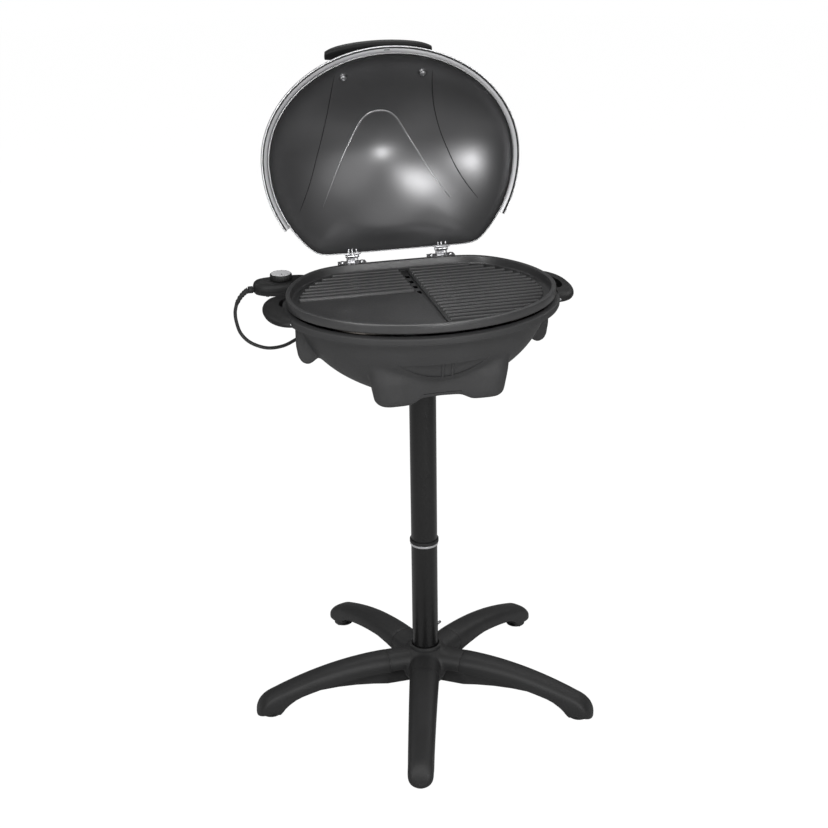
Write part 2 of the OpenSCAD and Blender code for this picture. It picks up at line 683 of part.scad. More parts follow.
module grill_plate() {
    color("#2a2b2d") difference() {
        union() {
            translate([0, 0, skirt_z]) linear_extrude(skirt_h) difference() {
                polygon(oval_2d(plate_oval, 0));
                polygon(oval_2d(plate_oval, -rim_w));
            }
            translate([0, 0, under_z]) linear_extrude(floor_t)
                polygon(oval_2d(plate_oval, -rim_w - 5));
            translate([0, 0, skirt_z]) linear_extrude(valley_z - skirt_z)
                polygon(oval_2d(plate_oval, -rim_w / 2));
            translate([0, 0, valley_z]) linear_extrude(rib_h) intersection() {
                polygon(oval_2d(plate_oval, -rib_inset));
                union() {
                    for (k = [0:ribs_right - 1])
                        translate([rib_right_x, rib_y0 - k * rib_pitch - rib_w / 2])
                            square([plate_a, rib_w]);
                    for (k = [0:ribs_left - 1])
                        translate([rib_left_x - plate_a, rib_y0 - k * rib_pitch - rib_w / 2])
                            square([plate_a, rib_w]);
                    translate([griddle_x - plate_a, -plate_front - 40])
                        square([plate_a, rib_y0 - ribs_left * rib_pitch + rib_w / 2
                            + plate_front + 40]);
                }
            }
        }
        for (k = [0:slot_n - 1]) translate([1, rib_y0 - 21 - k * slot_pitch, under_z - 1])
            cube([7, 15, floor_t + rib_h + 2]);
    }
}

element_r = element_d / 2;
element_z = under_z - element_r;
run_x = 148;
run_front = -118;
bend_r = 56;
return_y = ctl_y - pin_gap / 2 - 42;

module element_bar(a, b) {
    translate([a[0], a[1], element_z]) rotate([0, 90, atan2(b[1] - a[1], b[0] - a[0])])
        cylinder(r = element_r, h = norm(b - a));
}

module element_bend(c, r, a, sweep_a) {
    translate([c[0], c[1], element_z]) rotate([0, 0, a])
        rotate_extrude(angle = sweep_a) translate([r, 0]) circle(r = element_r);
}

module heating_element() {
    y1 = ctl_y + pin_gap / 2;
    y2 = ctl_y - pin_gap / 2;
    y3 = return_y;
    xr = run_x - bend_r;
    color("#6b6358") {
        element_bar([block_x2, y1], [xr, y1]);
        element_bend([xr, y1 - bend_r], bend_r, 0, 90);
        element_bar([run_x, y1 - bend_r], [run_x, run_front + bend_r]);
        element_bend([xr, run_front + bend_r], bend_r, 270, 90);
        element_bar([xr, run_front], [-xr, run_front]);
        element_bend([-xr, run_front + bend_r], bend_r, 180, 90);
        element_bar([-run_x, run_front + bend_r], [-run_x, y3 - 30]);
        element_bend([-run_x + 30, y3 - 30], 30, 90, 90);
        element_bar([-run_x + 30, y3], [block_x2 + 12, y3]);
        element_bend([block_x2 + 12, (y2 + y3) / 2], (y2 - y3) / 2, 270, 180);
        element_bar([block_x2 + 12, y2], [block_x2, y2]);
    }
}

clip_t = 1.5;

module element_clips() {
    color("#8a8d90") for (p = [[run_x, 0], [-run_x, 0], [50, run_front], [-50, run_front]]) {
        side = abs(p[0]) > 100 ? 90 : 0;
        translate([p[0], p[1], element_z]) rotate([0, 0, side]) difference() {
            union() {
                translate([-6, -element_r - clip_t, -element_r - clip_t])
                    cube([12, element_d + 2 * clip_t, element_d + clip_t]);
                translate([-6, -element_r - 8, element_r - clip_t]) cube([12, element_d + 16, clip_t]);
            }
            translate([-7, -element_r, -element_r]) cube([14, element_d, element_d + 1]);
        }
    }
}

module terminal_block() {
    color("#b8b2a6") difference() {
        translate([block_x1, ctl_y - nose_half, probe_z - 7])
            cube([block_x2 - block_x1, 2 * nose_half, under_z - probe_z + 7]);
        translate([block_x1 - 1, ctl_y, probe_z]) rotate([0, 90, 0])
            cylinder(r = probe_d / 2 + run_fit, h = block_x2 - block_x1 + 2);
        for (s = [-1, 1]) {
            translate([block_x1 - 1, ctl_y + s * pin_gap / 2, probe_z]) rotate([0, 90, 0])
                cylinder(r = contact_r, h = block_x2 - block_x1 + 2);
        }
    }
}

module terminal_pins() {
    color("#c8b273") for (s = [-1, 1])
        translate([block_x1 - 16, ctl_y + s * pin_gap / 2, probe_z]) rotate([0, 90, 0])
            cylinder(r = contact_r, h = block_x2 - block_x1 + 16);
}

// ---- lid ----
wall_up = 8;
lid_rings = 10;
function dome(s) = wall_up + (lid_depth - wall_up) * pow(1 - pow(s, 1.6), 0.65);
function lid_ring(i, grow, up) = let(s = sin(90 * (1 - i / (lid_rings + 1))))
    oval_ring(lid_oval, grow, s, lid_edge_z + up + dome(s));
bolt_y = -lid_front + 40;
bolt_drop = 34;

module opened_slots() {
    for (sx = [-1, 1]) for (k = [-1:1]) hull() for (y = [0, 9])
        translate([sx * hinge_x + k * finger_pitch - finger_w / 2 - 0.2,
            hinge_y - leaf_u - 11 + y, hinge_z - 4.7]) cube([finger_w + 0.4, 1, leaf_t + 0.8]);
}

bolt_tilt = 44;

module at_bolt(sx) {
    translate([sx * grip_x, bolt_y, lid_edge_z + bolt_z]) rotate([bolt_tilt, 0, 0]) children();
}
bolt_s = sqrt(pow(grip_x / lid_a, 2) + pow((lid_yc - bolt_y) / lid_front, 2));
bolt_z = dome(bolt_s);

module lid_shell() {
    color("#4a4c4f") opened() difference() {
        skin(concat([for (i = [lid_rings:-1:0]) lid_ring(i, 0, 0)],
            [oval_ring(lid_oval, 0, 1, lid_edge_z), oval_ring(lid_oval, -lid_t, 1, lid_edge_z)],
            [for (i = [0:lid_rings]) lid_ring(i, -lid_t, -lid_t)]));
        opened_slots();
        for (sx = [-1, 1]) at_bolt(sx) hull() for (z = [-12, 8]) translate([0, 0, z])
            cylinder(r = 2.6, h = 1, $fn = 24);
    }
}

trim_t1 = 150;
trim_n = 46;
function trim_section(d, t) = [for (p = d) let(r = oval_r(t, lid_oval, p[0]))
    [r * cos(t), lid_yc + r * sin(t), lid_edge_z + p[1]]];
function trim_band(d) = [for (i = [0:trim_n]) trim_section(d,
    trim_t1 + (540 - 2 * trim_t1) * i / trim_n)];

module lid_trim() {
    color("#c2c4c7") opened() skin(trim_band([[seat_gap, 5], [seat_gap, 7], [trim_w - 1.6, 2.4],
        [trim_w - 1.6, 9], [trim_w, 9], [trim_w, 0], [trim_w - 1.6, 0],
        [trim_w - 1.6, 1], [trim_w - 3.2, 1.4]]));
}

module lid_seal() {
    color("#0f0f10") opened() skin(trim_band([[trim_w - 3.2, 1.4], [trim_w - 1.6, 1],
        [trim_w - 1.6, 0.2], [trim_w - 3.2, 0.3]]));
}

grip_y = -lid_front + 8;
grip_z = lid_edge_z + 66;
function grip_ring(x) = let(q = pow(x / grip_half, 2), e = 1 - pow(abs(x) / grip_half, 8) * 0.4)
    [for (p = lens(11 * e, 7 * e, 3, 16)) [x, grip_y - 9 * (1 - q) + p[0] * 0.8 - p[1] * 0.6,
        grip_z + p[0] * 0.6 + p[1] * 0.8]];

module lid_handle() {
    color("#1a1b1d") opened() {
        skin([for (i = [-9:9]) grip_ring(grip_half * sin(i * 10))]);
        for (sx = [-1, 1]) at_bolt(sx) difference() {
            cylinder(r = 9, h = bolt_drop);
            translate([0, 0, -1]) cylinder(r = 12, h = 2.7);
        }
    }
}

module lid_handle_bolts() {
    color("#b5b8bb") opened() for (sx = [-1, 1]) at_bolt(sx) {
        translate([0, 0, -7]) cylinder(r = 4.4, h = 3);
        translate([0, 0, -5]) cylinder(r = 2.4, h = 24);
    }
}

// ---- thermostat controller ----
module ctl_plan(inset) {
    difference() {
        translate([ctl_x, ctl_y]) polygon(lens(ctl_half - inset, ctl_wide - inset, 3.4));
        polygon(oval_2d(plate_oval, ctl_gap + inset));
    }
}

module ctl_shell(z1, z2, open_up) {
    translate([0, 0, z1]) linear_extrude(z2 - z1) difference() {
        ctl_plan(0);
        ctl_plan(ctl_wall);
    }
    translate([0, 0, open_up ? z1 : z2 - ctl_wall]) linear_extrude(ctl_wall) ctl_plan(0);
}

nose_top_z = under_z - seat_gap;

module controller_base() {
    color("#202124") difference() {
        union() {
            ctl_shell(ctl_low_z, ctl_seam_z, true);
            translate([ctl_x + 22, ctl_y - nose_half, ctl_low_z])
                cube([nose_x - ctl_x - 22, 2 * nose_half, nose_top_z - ctl_low_z]);
            for (s = [-1, 1]) translate([ctl_x - 26, ctl_y + s * 14, ctl_low_z])
                cylinder(r = 4, h = ctl_seam_z - ctl_low_z);
        }
        translate([nose_x + 1, ctl_y, probe_z]) rotate([0, -90, 0])
            cylinder(r = probe_d / 2, h = 40);
        for (s = [-1, 1]) translate([nose_x + 1, ctl_y + s * pin_gap / 2, probe_z])
            rotate([0, -90, 0]) cylinder(r = contact_r + 1.2, h = 31);
        translate([gland_x - 8, ctl_y, gland_z]) rotate([0, 90, 0])
            cylinder(r = gland_r - 1, h = 16);
        for (s = [-1, 1]) translate([ctl_x - 26, ctl_y + s * 14, ctl_low_z - 1])
            cylinder(r = 1.6, h = ctl_h);
    }
}

module controller_cover() {
    color("#232427") difference() {
        union() {
            ctl_shell(ctl_seam_z, ctl_top_z, false);
            for (s = [-1, 1]) translate([ctl_x - 26, ctl_y + s * 14, ctl_seam_z])
                cylinder(r = 4, h = ctl_top_z - ctl_seam_z);
        }
        translate([ctl_x + 20, ctl_y - nose_half - 0.2, ctl_seam_z - 1])
            cube([60, 2 * nose_half + 0.4, nose_top_z - ctl_seam_z + 1.3]);
        translate([gland_x - 8, ctl_y, gland_z]) rotate([0, 90, 0])
            cylinder(r = gland_r - 1, h = 16);
        translate([knob_x, ctl_y, ctl_top_z - 10]) cylinder(r = 3 + run_fit, h = 20);
        for (s = [-1, 1]) translate([ctl_x - 26, ctl_y + s * 14, ctl_seam_z - 1])
            cylinder(r = 1.6, h = 9);
    }
}

module controller_screws() {
    color("#8d8f92") for (s = [-1, 1]) translate([ctl_x - 26, ctl_y + s * 14, ctl_low_z]) {
        cylinder(r = 1.6, h = ctl_seam_z - ctl_low_z + 8);
        translate([0, 0, -1]) cylinder(r = 3, h = 1);
    }
}

module contact_sleeves() {
    color("#b59a5a") for (s = [-1, 1])
        translate([nose_x, ctl_y + s * pin_gap / 2, probe_z]) rotate([0, -90, 0]) difference() {
            cylinder(r = contact_r + 1.2, h = 30);
            translate([0, 0, -1]) cylinder(r = contact_r + run_fit, h = 28);
        }
}

module thermostat_probe() {
    color("#b9bcc0") translate([nose_x - 39, ctl_y, probe_z]) rotate([0, 90, 0]) {
        cylinder(r = probe_d / 2, h = 39 + probe_len);
        translate([0, 0, 39 + probe_len]) sphere(r = probe_d / 2);
    }
}

switch_x = knob_x + 3;

module thermostat_switch() {
    color("#d8d2c2") difference() {
        translate([switch_x - 15, ctl_y - 9, ctl_low_z + ctl_wall])
            cube([26, 18, ctl_h - 2 * ctl_wall - 6]);
        translate([knob_x, ctl_y, ctl_low_z + ctl_wall + 4])
            cylinder(r = 3 + run_fit, h = ctl_h);
    }
}

module cord_gland() {
    color("#151617") translate([gland_x + 3, ctl_y, gland_z]) rotate([0, -90, 0]) {
        cylinder(r = gland_r - 1, h = 6);
        translate([0, 0, 4]) cylinder(r = gland_r, h = gland_x + 3 - relief_pts[0][0] - 4);
    }
}

module strain_relief() {
    color("#121314") sweep(smooth_path(relief_pts, 3), gland_r - 0.7, cord_r + 0.7, 10);
}

module cord_loop() {
    color("#161718") sweep(smooth_path(loop_pts, 3), cord_r, cord_r, 8);
}

module cord_drop() {
    color("#161718") sweep(concat(smooth_path(pick(drop_pts, 0, 16), 2), lead_in),
        cord_r, cord_r, 8, [0.97, -0.2, 0.1]);
}

module cord_coil() {
    color("#161718") translate([coil_c[0], coil_c[1], 0]) rotate_extrude()
        translate([coil_r - cord_r, 0]) square([cord_d, coil_h]);
}

module coil_tie() {
    p = on_coil(180, 0);
    color("#2c2d2f") translate([p[0], p[1], 0]) rotate([0, 0, star_view]) difference() {
        translate([-cord_r - 1, -4, 0]) cube([cord_d + 2, 8, coil_h + 1]);
        translate([-cord_r, -5, -1]) cube([cord_d, 10, coil_h + 1]);
    }
}

function flat_path(list, z) = [for (p = list) concat(along(p[0], p[1]), [z])];

module plug_lead() {
    color("#161718") sweep(smooth_path(flat_path(lead_out, cord_r), 3), cord_r, cord_r, 8,
        [0, 0, 1]);
}

plug_r = 13;
plug_p = concat(along(lead_out[3][0], lead_out[3][1]), [0]);

module at_plug() {
    translate([plug_p[0], plug_p[1], 0]) rotate([0, 0, plug_turn]) children();
}

module plug_body() {
    color("#141516") at_plug() hull() {
        translate([0, 0, cord_r + 1]) rotate([0, 90, 0])
            cylinder(r = cord_r + 1, h = 2, $fn = 32);
        translate([20, 0, plug_r]) rotate([0, 90, 0]) cylinder(r = plug_r, h = 16, $fn = 32);
    }
}

module plug_pins() {
    color("#cfc9b0") at_plug() for (s = [-1, 1]) translate([34, s * 9.5, plug_r])
        rotate([0, 90, 0]) cylinder(r = 2.4, h = 21);
}

// ---- knob ----
module control_knob() {
    color("#1b1c1e") translate([knob_x, ctl_y, ctl_top_z + seat_gap]) {
        difference() {
            cylinder(r = knob_d / 2, h = knob_h);
            translate([0, 0, knob_h - 1]) cylinder(r = knob_d / 2 - 1.6, h = 2);
        }
        translate([0, 0, -ctl_h + ctl_wall + 6]) cylinder(r = 3, h = ctl_h - 4);
    }
}

module knob_cap() {
    color("#c9ccd0") translate([knob_x, ctl_y, ctl_top_z + seat_gap + knob_h - 1])
        cylinder(r = knob_d / 2 - 1.7, h = 1.2);
}

base_hub();
leg(0);  // leg_front
leg(1);  // leg_right_front
leg(2);  // leg_right_rear
leg(3);  // leg_left_rear
leg(4);  // leg_left_front
floor_pads();
leg_screws();
lower_tube();
joint_ring();
joint_coupler();
upper_tube();
tube_foot_insert();
column_bolt();
tube_cap();
cord_drop();
cord_coil();
coil_tie();
plug_lead();
plug_body();
plug_pins();
bowl();
column_socket();
socket_screws();
tabletop_pads();
side_handle(-1);  // handle_left
side_handle(1);  // handle_right
handle_screws();
hinge_base(-1);  // hinge_base_left
hinge_base(1);  // hinge_base_right
hinge_screws();
hinge_pin(-1);  // hinge_pin_left
hinge_pin(1);  // hinge_pin_right
drip_pan();
grill_plate();
heating_element();
element_clips();
terminal_block();
terminal_pins();
lid_shell();
lid_trim();
lid_seal();
hinge_leaf(-1);  // hinge_leaf_left
hinge_leaf(1);  // hinge_leaf_right
lid_handle();
lid_handle_bolts();
controller_base();
controller_cover();
controller_screws();
contact_sleeves();
thermostat_probe();
thermostat_switch();
cord_gland();
strain_relief();
cord_loop();
control_knob();
knob_cap();
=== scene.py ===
"""Electric barbecue grill with a domed lid, on a five-legged column.

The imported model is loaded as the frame. Every sub-assembly is a class that holds its sizes in
millimetres, shapes its pieces and dresses them in their finishes.
"""

import logging
import math
from dataclasses import dataclass, field
from enum import Enum

import bmesh
import bpy
from mathutils import Matrix, Vector


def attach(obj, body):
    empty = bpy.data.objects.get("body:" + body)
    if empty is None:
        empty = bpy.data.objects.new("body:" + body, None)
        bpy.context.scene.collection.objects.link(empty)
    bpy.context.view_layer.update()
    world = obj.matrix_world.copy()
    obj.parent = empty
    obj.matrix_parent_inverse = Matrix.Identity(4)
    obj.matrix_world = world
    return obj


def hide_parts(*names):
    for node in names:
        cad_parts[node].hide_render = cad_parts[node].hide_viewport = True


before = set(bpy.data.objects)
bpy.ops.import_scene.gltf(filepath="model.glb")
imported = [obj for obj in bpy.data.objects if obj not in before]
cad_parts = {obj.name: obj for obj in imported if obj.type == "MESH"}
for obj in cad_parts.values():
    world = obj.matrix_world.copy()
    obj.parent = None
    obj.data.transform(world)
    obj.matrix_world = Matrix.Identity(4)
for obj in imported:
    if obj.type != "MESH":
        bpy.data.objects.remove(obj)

LOG = logging.getLogger("grill")
MM = 0.001
TURN = 2 * math.pi

# Distances in metres under which points are one, in own meshes and in CAD nodes, and the angle in
# degrees from which an edge is rounded.
MERGE = 1e-6
WELD = 1e-5
FOLD = 35

Piece = bpy.types.Object
Socket = bpy.types.NodeSocket
Point = tuple[float, float, float]
Ring = list[Point]
Plan = list[tuple[float, float]]


# ---------------------------------------------------------------- modelling bench


class End(Enum):
    """How the end of a skin is closed."""

    OPEN = "open"
    FACE = "face"


def deselect() -> None:
    """Clears the selection, so that an operator acts on the next piece alone."""
    bpy.ops.object.select_all(action="DESELECT")


def take(*objects: Piece) -> None:
    """Selects these objects alone and makes the first one active.

    Args:
        objects: The objects, the active one first.
    """
    deselect()
    for item in objects:
        item.select_set(True)
    bpy.context.view_layer.objects.active = objects[0]


def discard(*objects: Piece) -> None:
    """Removes pieces that were only needed to make others."""
    for item in objects:
        bpy.data.objects.remove(item, do_unlink=True)


def clean(obj: Piece) -> Piece:
    """Merges the doubles of a piece and turns every face outwards.

    Args:
        obj: The piece.

    Returns:
        The same piece.
    """
    take(obj)
    bpy.ops.object.mode_set(mode="EDIT")
    bpy.ops.mesh.select_all(action="SELECT")
    bpy.ops.mesh.remove_doubles(threshold=MERGE)
    bpy.ops.mesh.normals_make_consistent(inside=False)
    bpy.ops.object.mode_set(mode="OBJECT")
    return obj


def loft(name: str, rings: list[Ring], ends: End = End.FACE, loop: bool = False) -> Piece:
    """A skin that is extruded ring by ring from a circle.

    Args:
        name: Name of the piece.
        rings: Rings of equally many points, in millimetres.
        ends: What closes the first and the last ring.
        loop: Whether the last ring is joined to the first.

    Returns:
        The closed piece, with its place in its mesh.
    """
    deselect()
    bpy.ops.mesh.primitive_circle_add(vertices=len(rings[0]), radius=1, fill_type="NOTHING")
    obj = bpy.context.object
    obj.name = obj.data.name = name
    bpy.ops.object.mode_set(mode="EDIT")
    bpy.ops.mesh.select_mode(type="EDGE")
    bpy.ops.mesh.select_all(action="SELECT")
    mesh = bmesh.from_edit_mesh(obj.data)
    slot = mesh.verts.layers.int.new("slot")
    for i, vert in enumerate(mesh.verts):
        vert[slot] = i
        vert.co = Vector(rings[0][i]) * MM
    if ends is End.FACE and not loop:
        bpy.ops.mesh.edge_face_add()
    for ring in rings[1:] + (rings[:1] if loop else []):
        bpy.ops.mesh.extrude_edges_move()
        mesh = bmesh.from_edit_mesh(obj.data)
        slot = mesh.verts.layers.int["slot"]
        for vert in mesh.verts:
            if vert.select:
                vert.co = Vector(ring[vert[slot]]) * MM
    if ends is End.FACE and not loop:
        bpy.ops.mesh.edge_face_add()
    bmesh.update_edit_mesh(obj.data)
    bpy.ops.object.mode_set(mode="OBJECT")
    obj.data.attributes.remove(obj.data.attributes["slot"])
    return clean(obj)


def around(steps: int) -> Plan:
    """Cosine and sine at equal steps round a circle."""
    return [(math.cos(TURN * i / steps), math.sin(TURN * i / steps)) for i in range(steps)]


def bulge(c: float, s: float, power: float) -> float:
    """How far a rounded square of half width one reaches in that direction."""
    return (abs(c) ** power + abs(s) ** power) ** (-1 / power)


def turned(name: str, profile: Plan, at: Point = (0, 0, 0), steps: int = 64,
           loop: bool = True) -> Piece:
    """A piece turned about an upright axis.

    Args:
        name: Name of the piece.
        profile: Radius and height pairs, in millimetres.
        at: Foot of the axis.
        steps: Points round the piece.
        loop: Whether the profile is closed, as on a tube.

    Returns:
        The turned piece.
    """
    rings = [[(at[0] + r * c, at[1] + r * s, at[2] + z) for c, s in around(steps)] for r, z in profile]
    return loft(name, rings, End.FACE, loop)


def slab(name: str, outline: Plan, low: float, high: float) -> Piece:
    """A flat piece: an outline that is filled and extruded upwards.

    Args:
        name: Name of the piece.
        outline: Plan of the piece, in millimetres.
        low: Height of the underside.
        high: Height of the top.

    Returns:
        The slab.
    """
    return loft(name, [[(x, y, z) for x, y in outline] for z in (low, high)])


def block(name: str, low: Point, high: Point) -> Piece:
    """A cube primitive between two corners in millimetres, to be shaped further.

    Args:
        name: Name of the piece.
        low: Its lowest corner.
        high: Its highest corner.

    Returns:
        The block.
    """
    deselect()
    bpy.ops.mesh.primitive_cube_add(size=1, location=[(a + b) / 2 * MM for a, b in zip(low, high)],
                                    scale=[(b - a) * MM for a, b in zip(low, high)])
    obj = bpy.context.object
    obj.name = obj.data.name = name
    bpy.ops.object.transform_apply(location=True, rotation=True, scale=True)
    return obj


def apply(obj: Piece, kind: str, **values: object) -> Piece:
    """Adds one modifier, sets it and applies it.

    Args:
        obj: The piece.
        kind: Type of the modifier.
        values: Its settings by name.

    Returns:
        The same piece.
    """
    take(obj)
    modifier = obj.modifiers.new(kind.title(), kind)
    for key, value in values.items():
        setattr(modifier, key, value)
    bpy.ops.object.modifier_apply(modifier=modifier.name)
    return obj


def rounded(obj: Piece, width: float, segments: int = 3,
            angle: float = FOLD) -> Piece:
    """Rounds the sharp edges of a piece.

    Args:
        obj: The piece.
        width: Width of the rounding in millimetres.
        segments: Steps of the rounding.
        angle: Edges sharper than this, in degrees, are rounded.

    Returns:
        The same piece.
    """
    return apply(obj, "BEVEL", width=width * MM, segments=segments, limit_method="ANGLE",
                 angle_limit=math.radians(angle), use_clamp_overlap=True, miter_outer="MITER_ARC")


def cut(obj: Piece, *cutters: Piece) -> Piece:
    """Cuts a piece with others, one by one, which are used up.

    Args:
        obj: The piece.
        cutters: What is cut out of it.

    Returns:
        The same piece.
    """
    for cutter in cutters:
        apply(obj, "BOOLEAN", operation="DIFFERENCE", object=cutter, solver="EXACT")
        discard(cutter)
    return obj


def together(name: str, parts: list[Piece]) -> Piece:
    """Joins loose parts into one object of that name.

    Args:
        name: Name of the whole.
        parts: The parts, which are used up.

    Returns:
        The whole.
    """
    take(*parts)
    if len(parts) > 1:
        bpy.ops.object.join()
    parts[0].name = parts[0].data.name = name
    return parts[0]


def copied(obj: Piece, name: str, move: Matrix) -> Piece:
    """A copy with its own mesh, moved there by a matrix.

    Args:
        obj: The piece that is copied.
        name: Name of the copy.
        move: Matrix in metres.

    Returns:
        The copy.
    """
    twin = obj.copy()
    twin.data = obj.data.copy()
    twin.name = twin.data.name = name
    bpy.context.collection.objects.link(twin)
    twin.data.transform(move)
    return twin


def spread(master: Piece, name: str, turns: list[float]) -> list[Piece]:
    """Copies of a piece, each turned about the column's axis, in place of the piece itself.

    Args:
        master: The piece that is copied and then removed.
        name: Name of the copies.
        turns: Turn of each copy in degrees.

    Returns:
        The copies.
    """
    twins = [copied(master, name, turn_about_z(turn)) for turn in turns]
    discard(master)
    return twins


def melted(obj: Piece, voxel: float, passes: int, strength: float = 0.5) -> Piece:
    """Runs overlapping forms together into one moulded skin with soft inner corners.

    Args:
        obj: Closed forms that overlap.
        voxel: Size of the remeshed faces in millimetres.
        passes: Smoothing passes.
        strength: Share by which each pass smooths.

    Returns:
        The same piece.
    """
    apply(obj, "REMESH", mode="VOXEL", voxel_size=voxel * MM)
    return apply(obj, "SMOOTH", factor=strength, iterations=passes)


def rod(name: str, path: list[Point], radii: list[float], sides: int = 12,
        up: Point = (0, 1, 0)) -> Piece:
    """A round bar along a path.

    Args:
        name: Name of the piece.
        path: Points in millimetres.
        radii: Radius at each point.
        sides: Points round the bar.
        up: A direction that is never along the path.

    Returns:
        The bar.
    """
    rings = []
    points = [Vector(p) for p in path]
    for i, point in enumerate(points):
        ahead = (points[min(i + 1, len(points) - 1)] - points[max(i - 1, 0)]).normalized()
        side = Vector(up).cross(ahead).normalized()
        over = ahead.cross(side)
        rings.append([tuple(point + radii[i] * (side * c + over * s)) for c, s in around(sides)])
    return loft(name, rings)


def spline(points: list[Point], per: int) -> list[Point]:
    """A smooth line through points, with so many steps between two of them.

    Args:
        points: Points that the line passes through.
        per: Steps from one of them to the next.

    Returns:
        The points of the line.
    """
    out = []
    for i in range((len(points) - 1) * per + 1):
        k = min(i // per, len(points) - 2)
        f = i / per - k
        a, b, c, d = (Vector(points[max(k - 1, 0)]), Vector(points[k]), Vector(points[k + 1]),
                      Vector(points[min(k + 2, len(points) - 1)]))
        out.append(tuple(0.5 * (2 * b + (c - a) * f + (2 * a - 5 * b + 4 * c - d) * f * f
                                + (3 * b - a - 3 * c + d) * f ** 3)))
    return out


def lens(half_x: float, half_y: float, power: float, steps: int) -> Plan:
    """A rounded outline between an ellipse and a rectangle."""
    return [(half_x * bulge(c, s, power) * c, half_y * bulge(c, s, power) * s) for c, s in around(steps)]


def blend(a: float, b: float, share: float) -> float:
    """The value that lies that share of the way from a to b, eased at both ends."""
    share = min(max(share, 0), 1)
    return a + (b - a) * share * share * (3 - 2 * share)


def turn_about_z(degrees: float) -> Matrix:
    """A matrix that turns about the column."""
    return Matrix.Rotation(math.radians(degrees), 4, "Z")


@dataclass(frozen=True)
class Oval:
    """The plan that bowl, plate and lid share: an oval with a flat back edge.

    Attributes:
        half: Half width.
        front: Reach in front of the middle.
        rear: Reach of the curve behind the middle.
        flat: Distance of the flat back edge behind the middle.
        middle: Place of the middle along Y.
        corner: Sharpness of the two rear corners.
    """

    half: float
    front: float
    rear: float
    flat: float
    middle: float
    corner: float

    def radius(self, turn: float, grow: float = 0) -> float:
        """Distance of the outline from the middle.

        Args:
            turn: Direction in radians.
            grow: Offset of the outline in millimetres.

        Returns:
            The distance in millimetres.
        """
        c, s = math.cos(turn), math.sin(turn)
        deep = (self.rear if s > 0 else self.front) + grow
        reach = 1 / math.sqrt((c / (self.half + grow)) ** 2 + (s / deep) ** 2)
        k = (reach * s / (self.flat + grow)) ** self.corner if s > 0.05 else 0
        return reach / (1 + k) ** (1 / self.corner)

    def ring(self, z: float, grow: float = 0, share: float = 1, steps: int = 160) -> Ring:
        """The outline at a height, offset or scaled about its middle.

        Args:
            z: Height of the ring.
            grow: Offset of the outline in millimetres.
            share: Scale about the middle.
            steps: Points round the ring.

        Returns:
            The ring.
        """
        out = []
        for i in range(steps):
            turn = TURN * i / steps
            r = share * self.radius(turn, grow)
            out.append((r * math.cos(turn), self.middle + r * math.sin(turn), z))
        return out

    def plan(self, grow: float) -> Plan:
        """The outline in plan, in fine steps."""
        return [(x, y) for x, y, _ in self.ring(0, grow, 1, 200)]

    def edge_x(self, y: float, grow: float) -> float:
        """Half the outline's width at that Y."""
        deep = (self.rear if y > self.middle else self.front) + grow
        return (self.half + grow) * math.sqrt(max(1 - ((y - self.middle) / deep) ** 2, 0))


PLATE = Oval(half=205, front=161, rear=183, flat=152, middle=-3, corner=16)
LID = Oval(half=197, front=160, rear=190, flat=145, middle=7, corner=40)
CROWN = Oval(half=197, front=160, rear=172, flat=1e6, middle=7, corner=2)

# Y and Z of the hinge axis, X of the right hinge, turn of the open lid in degrees, radius of the
# hole round the column, and how far the bowl's band stands out of the plate's outline.
HINGE = (157.0, 709.0)
HINGE_OUT = 72.6
LID_OPEN = 99.0
BORE = 21.1
BAND_OUT = 6


# ---------------------------------------------------------------- finishes


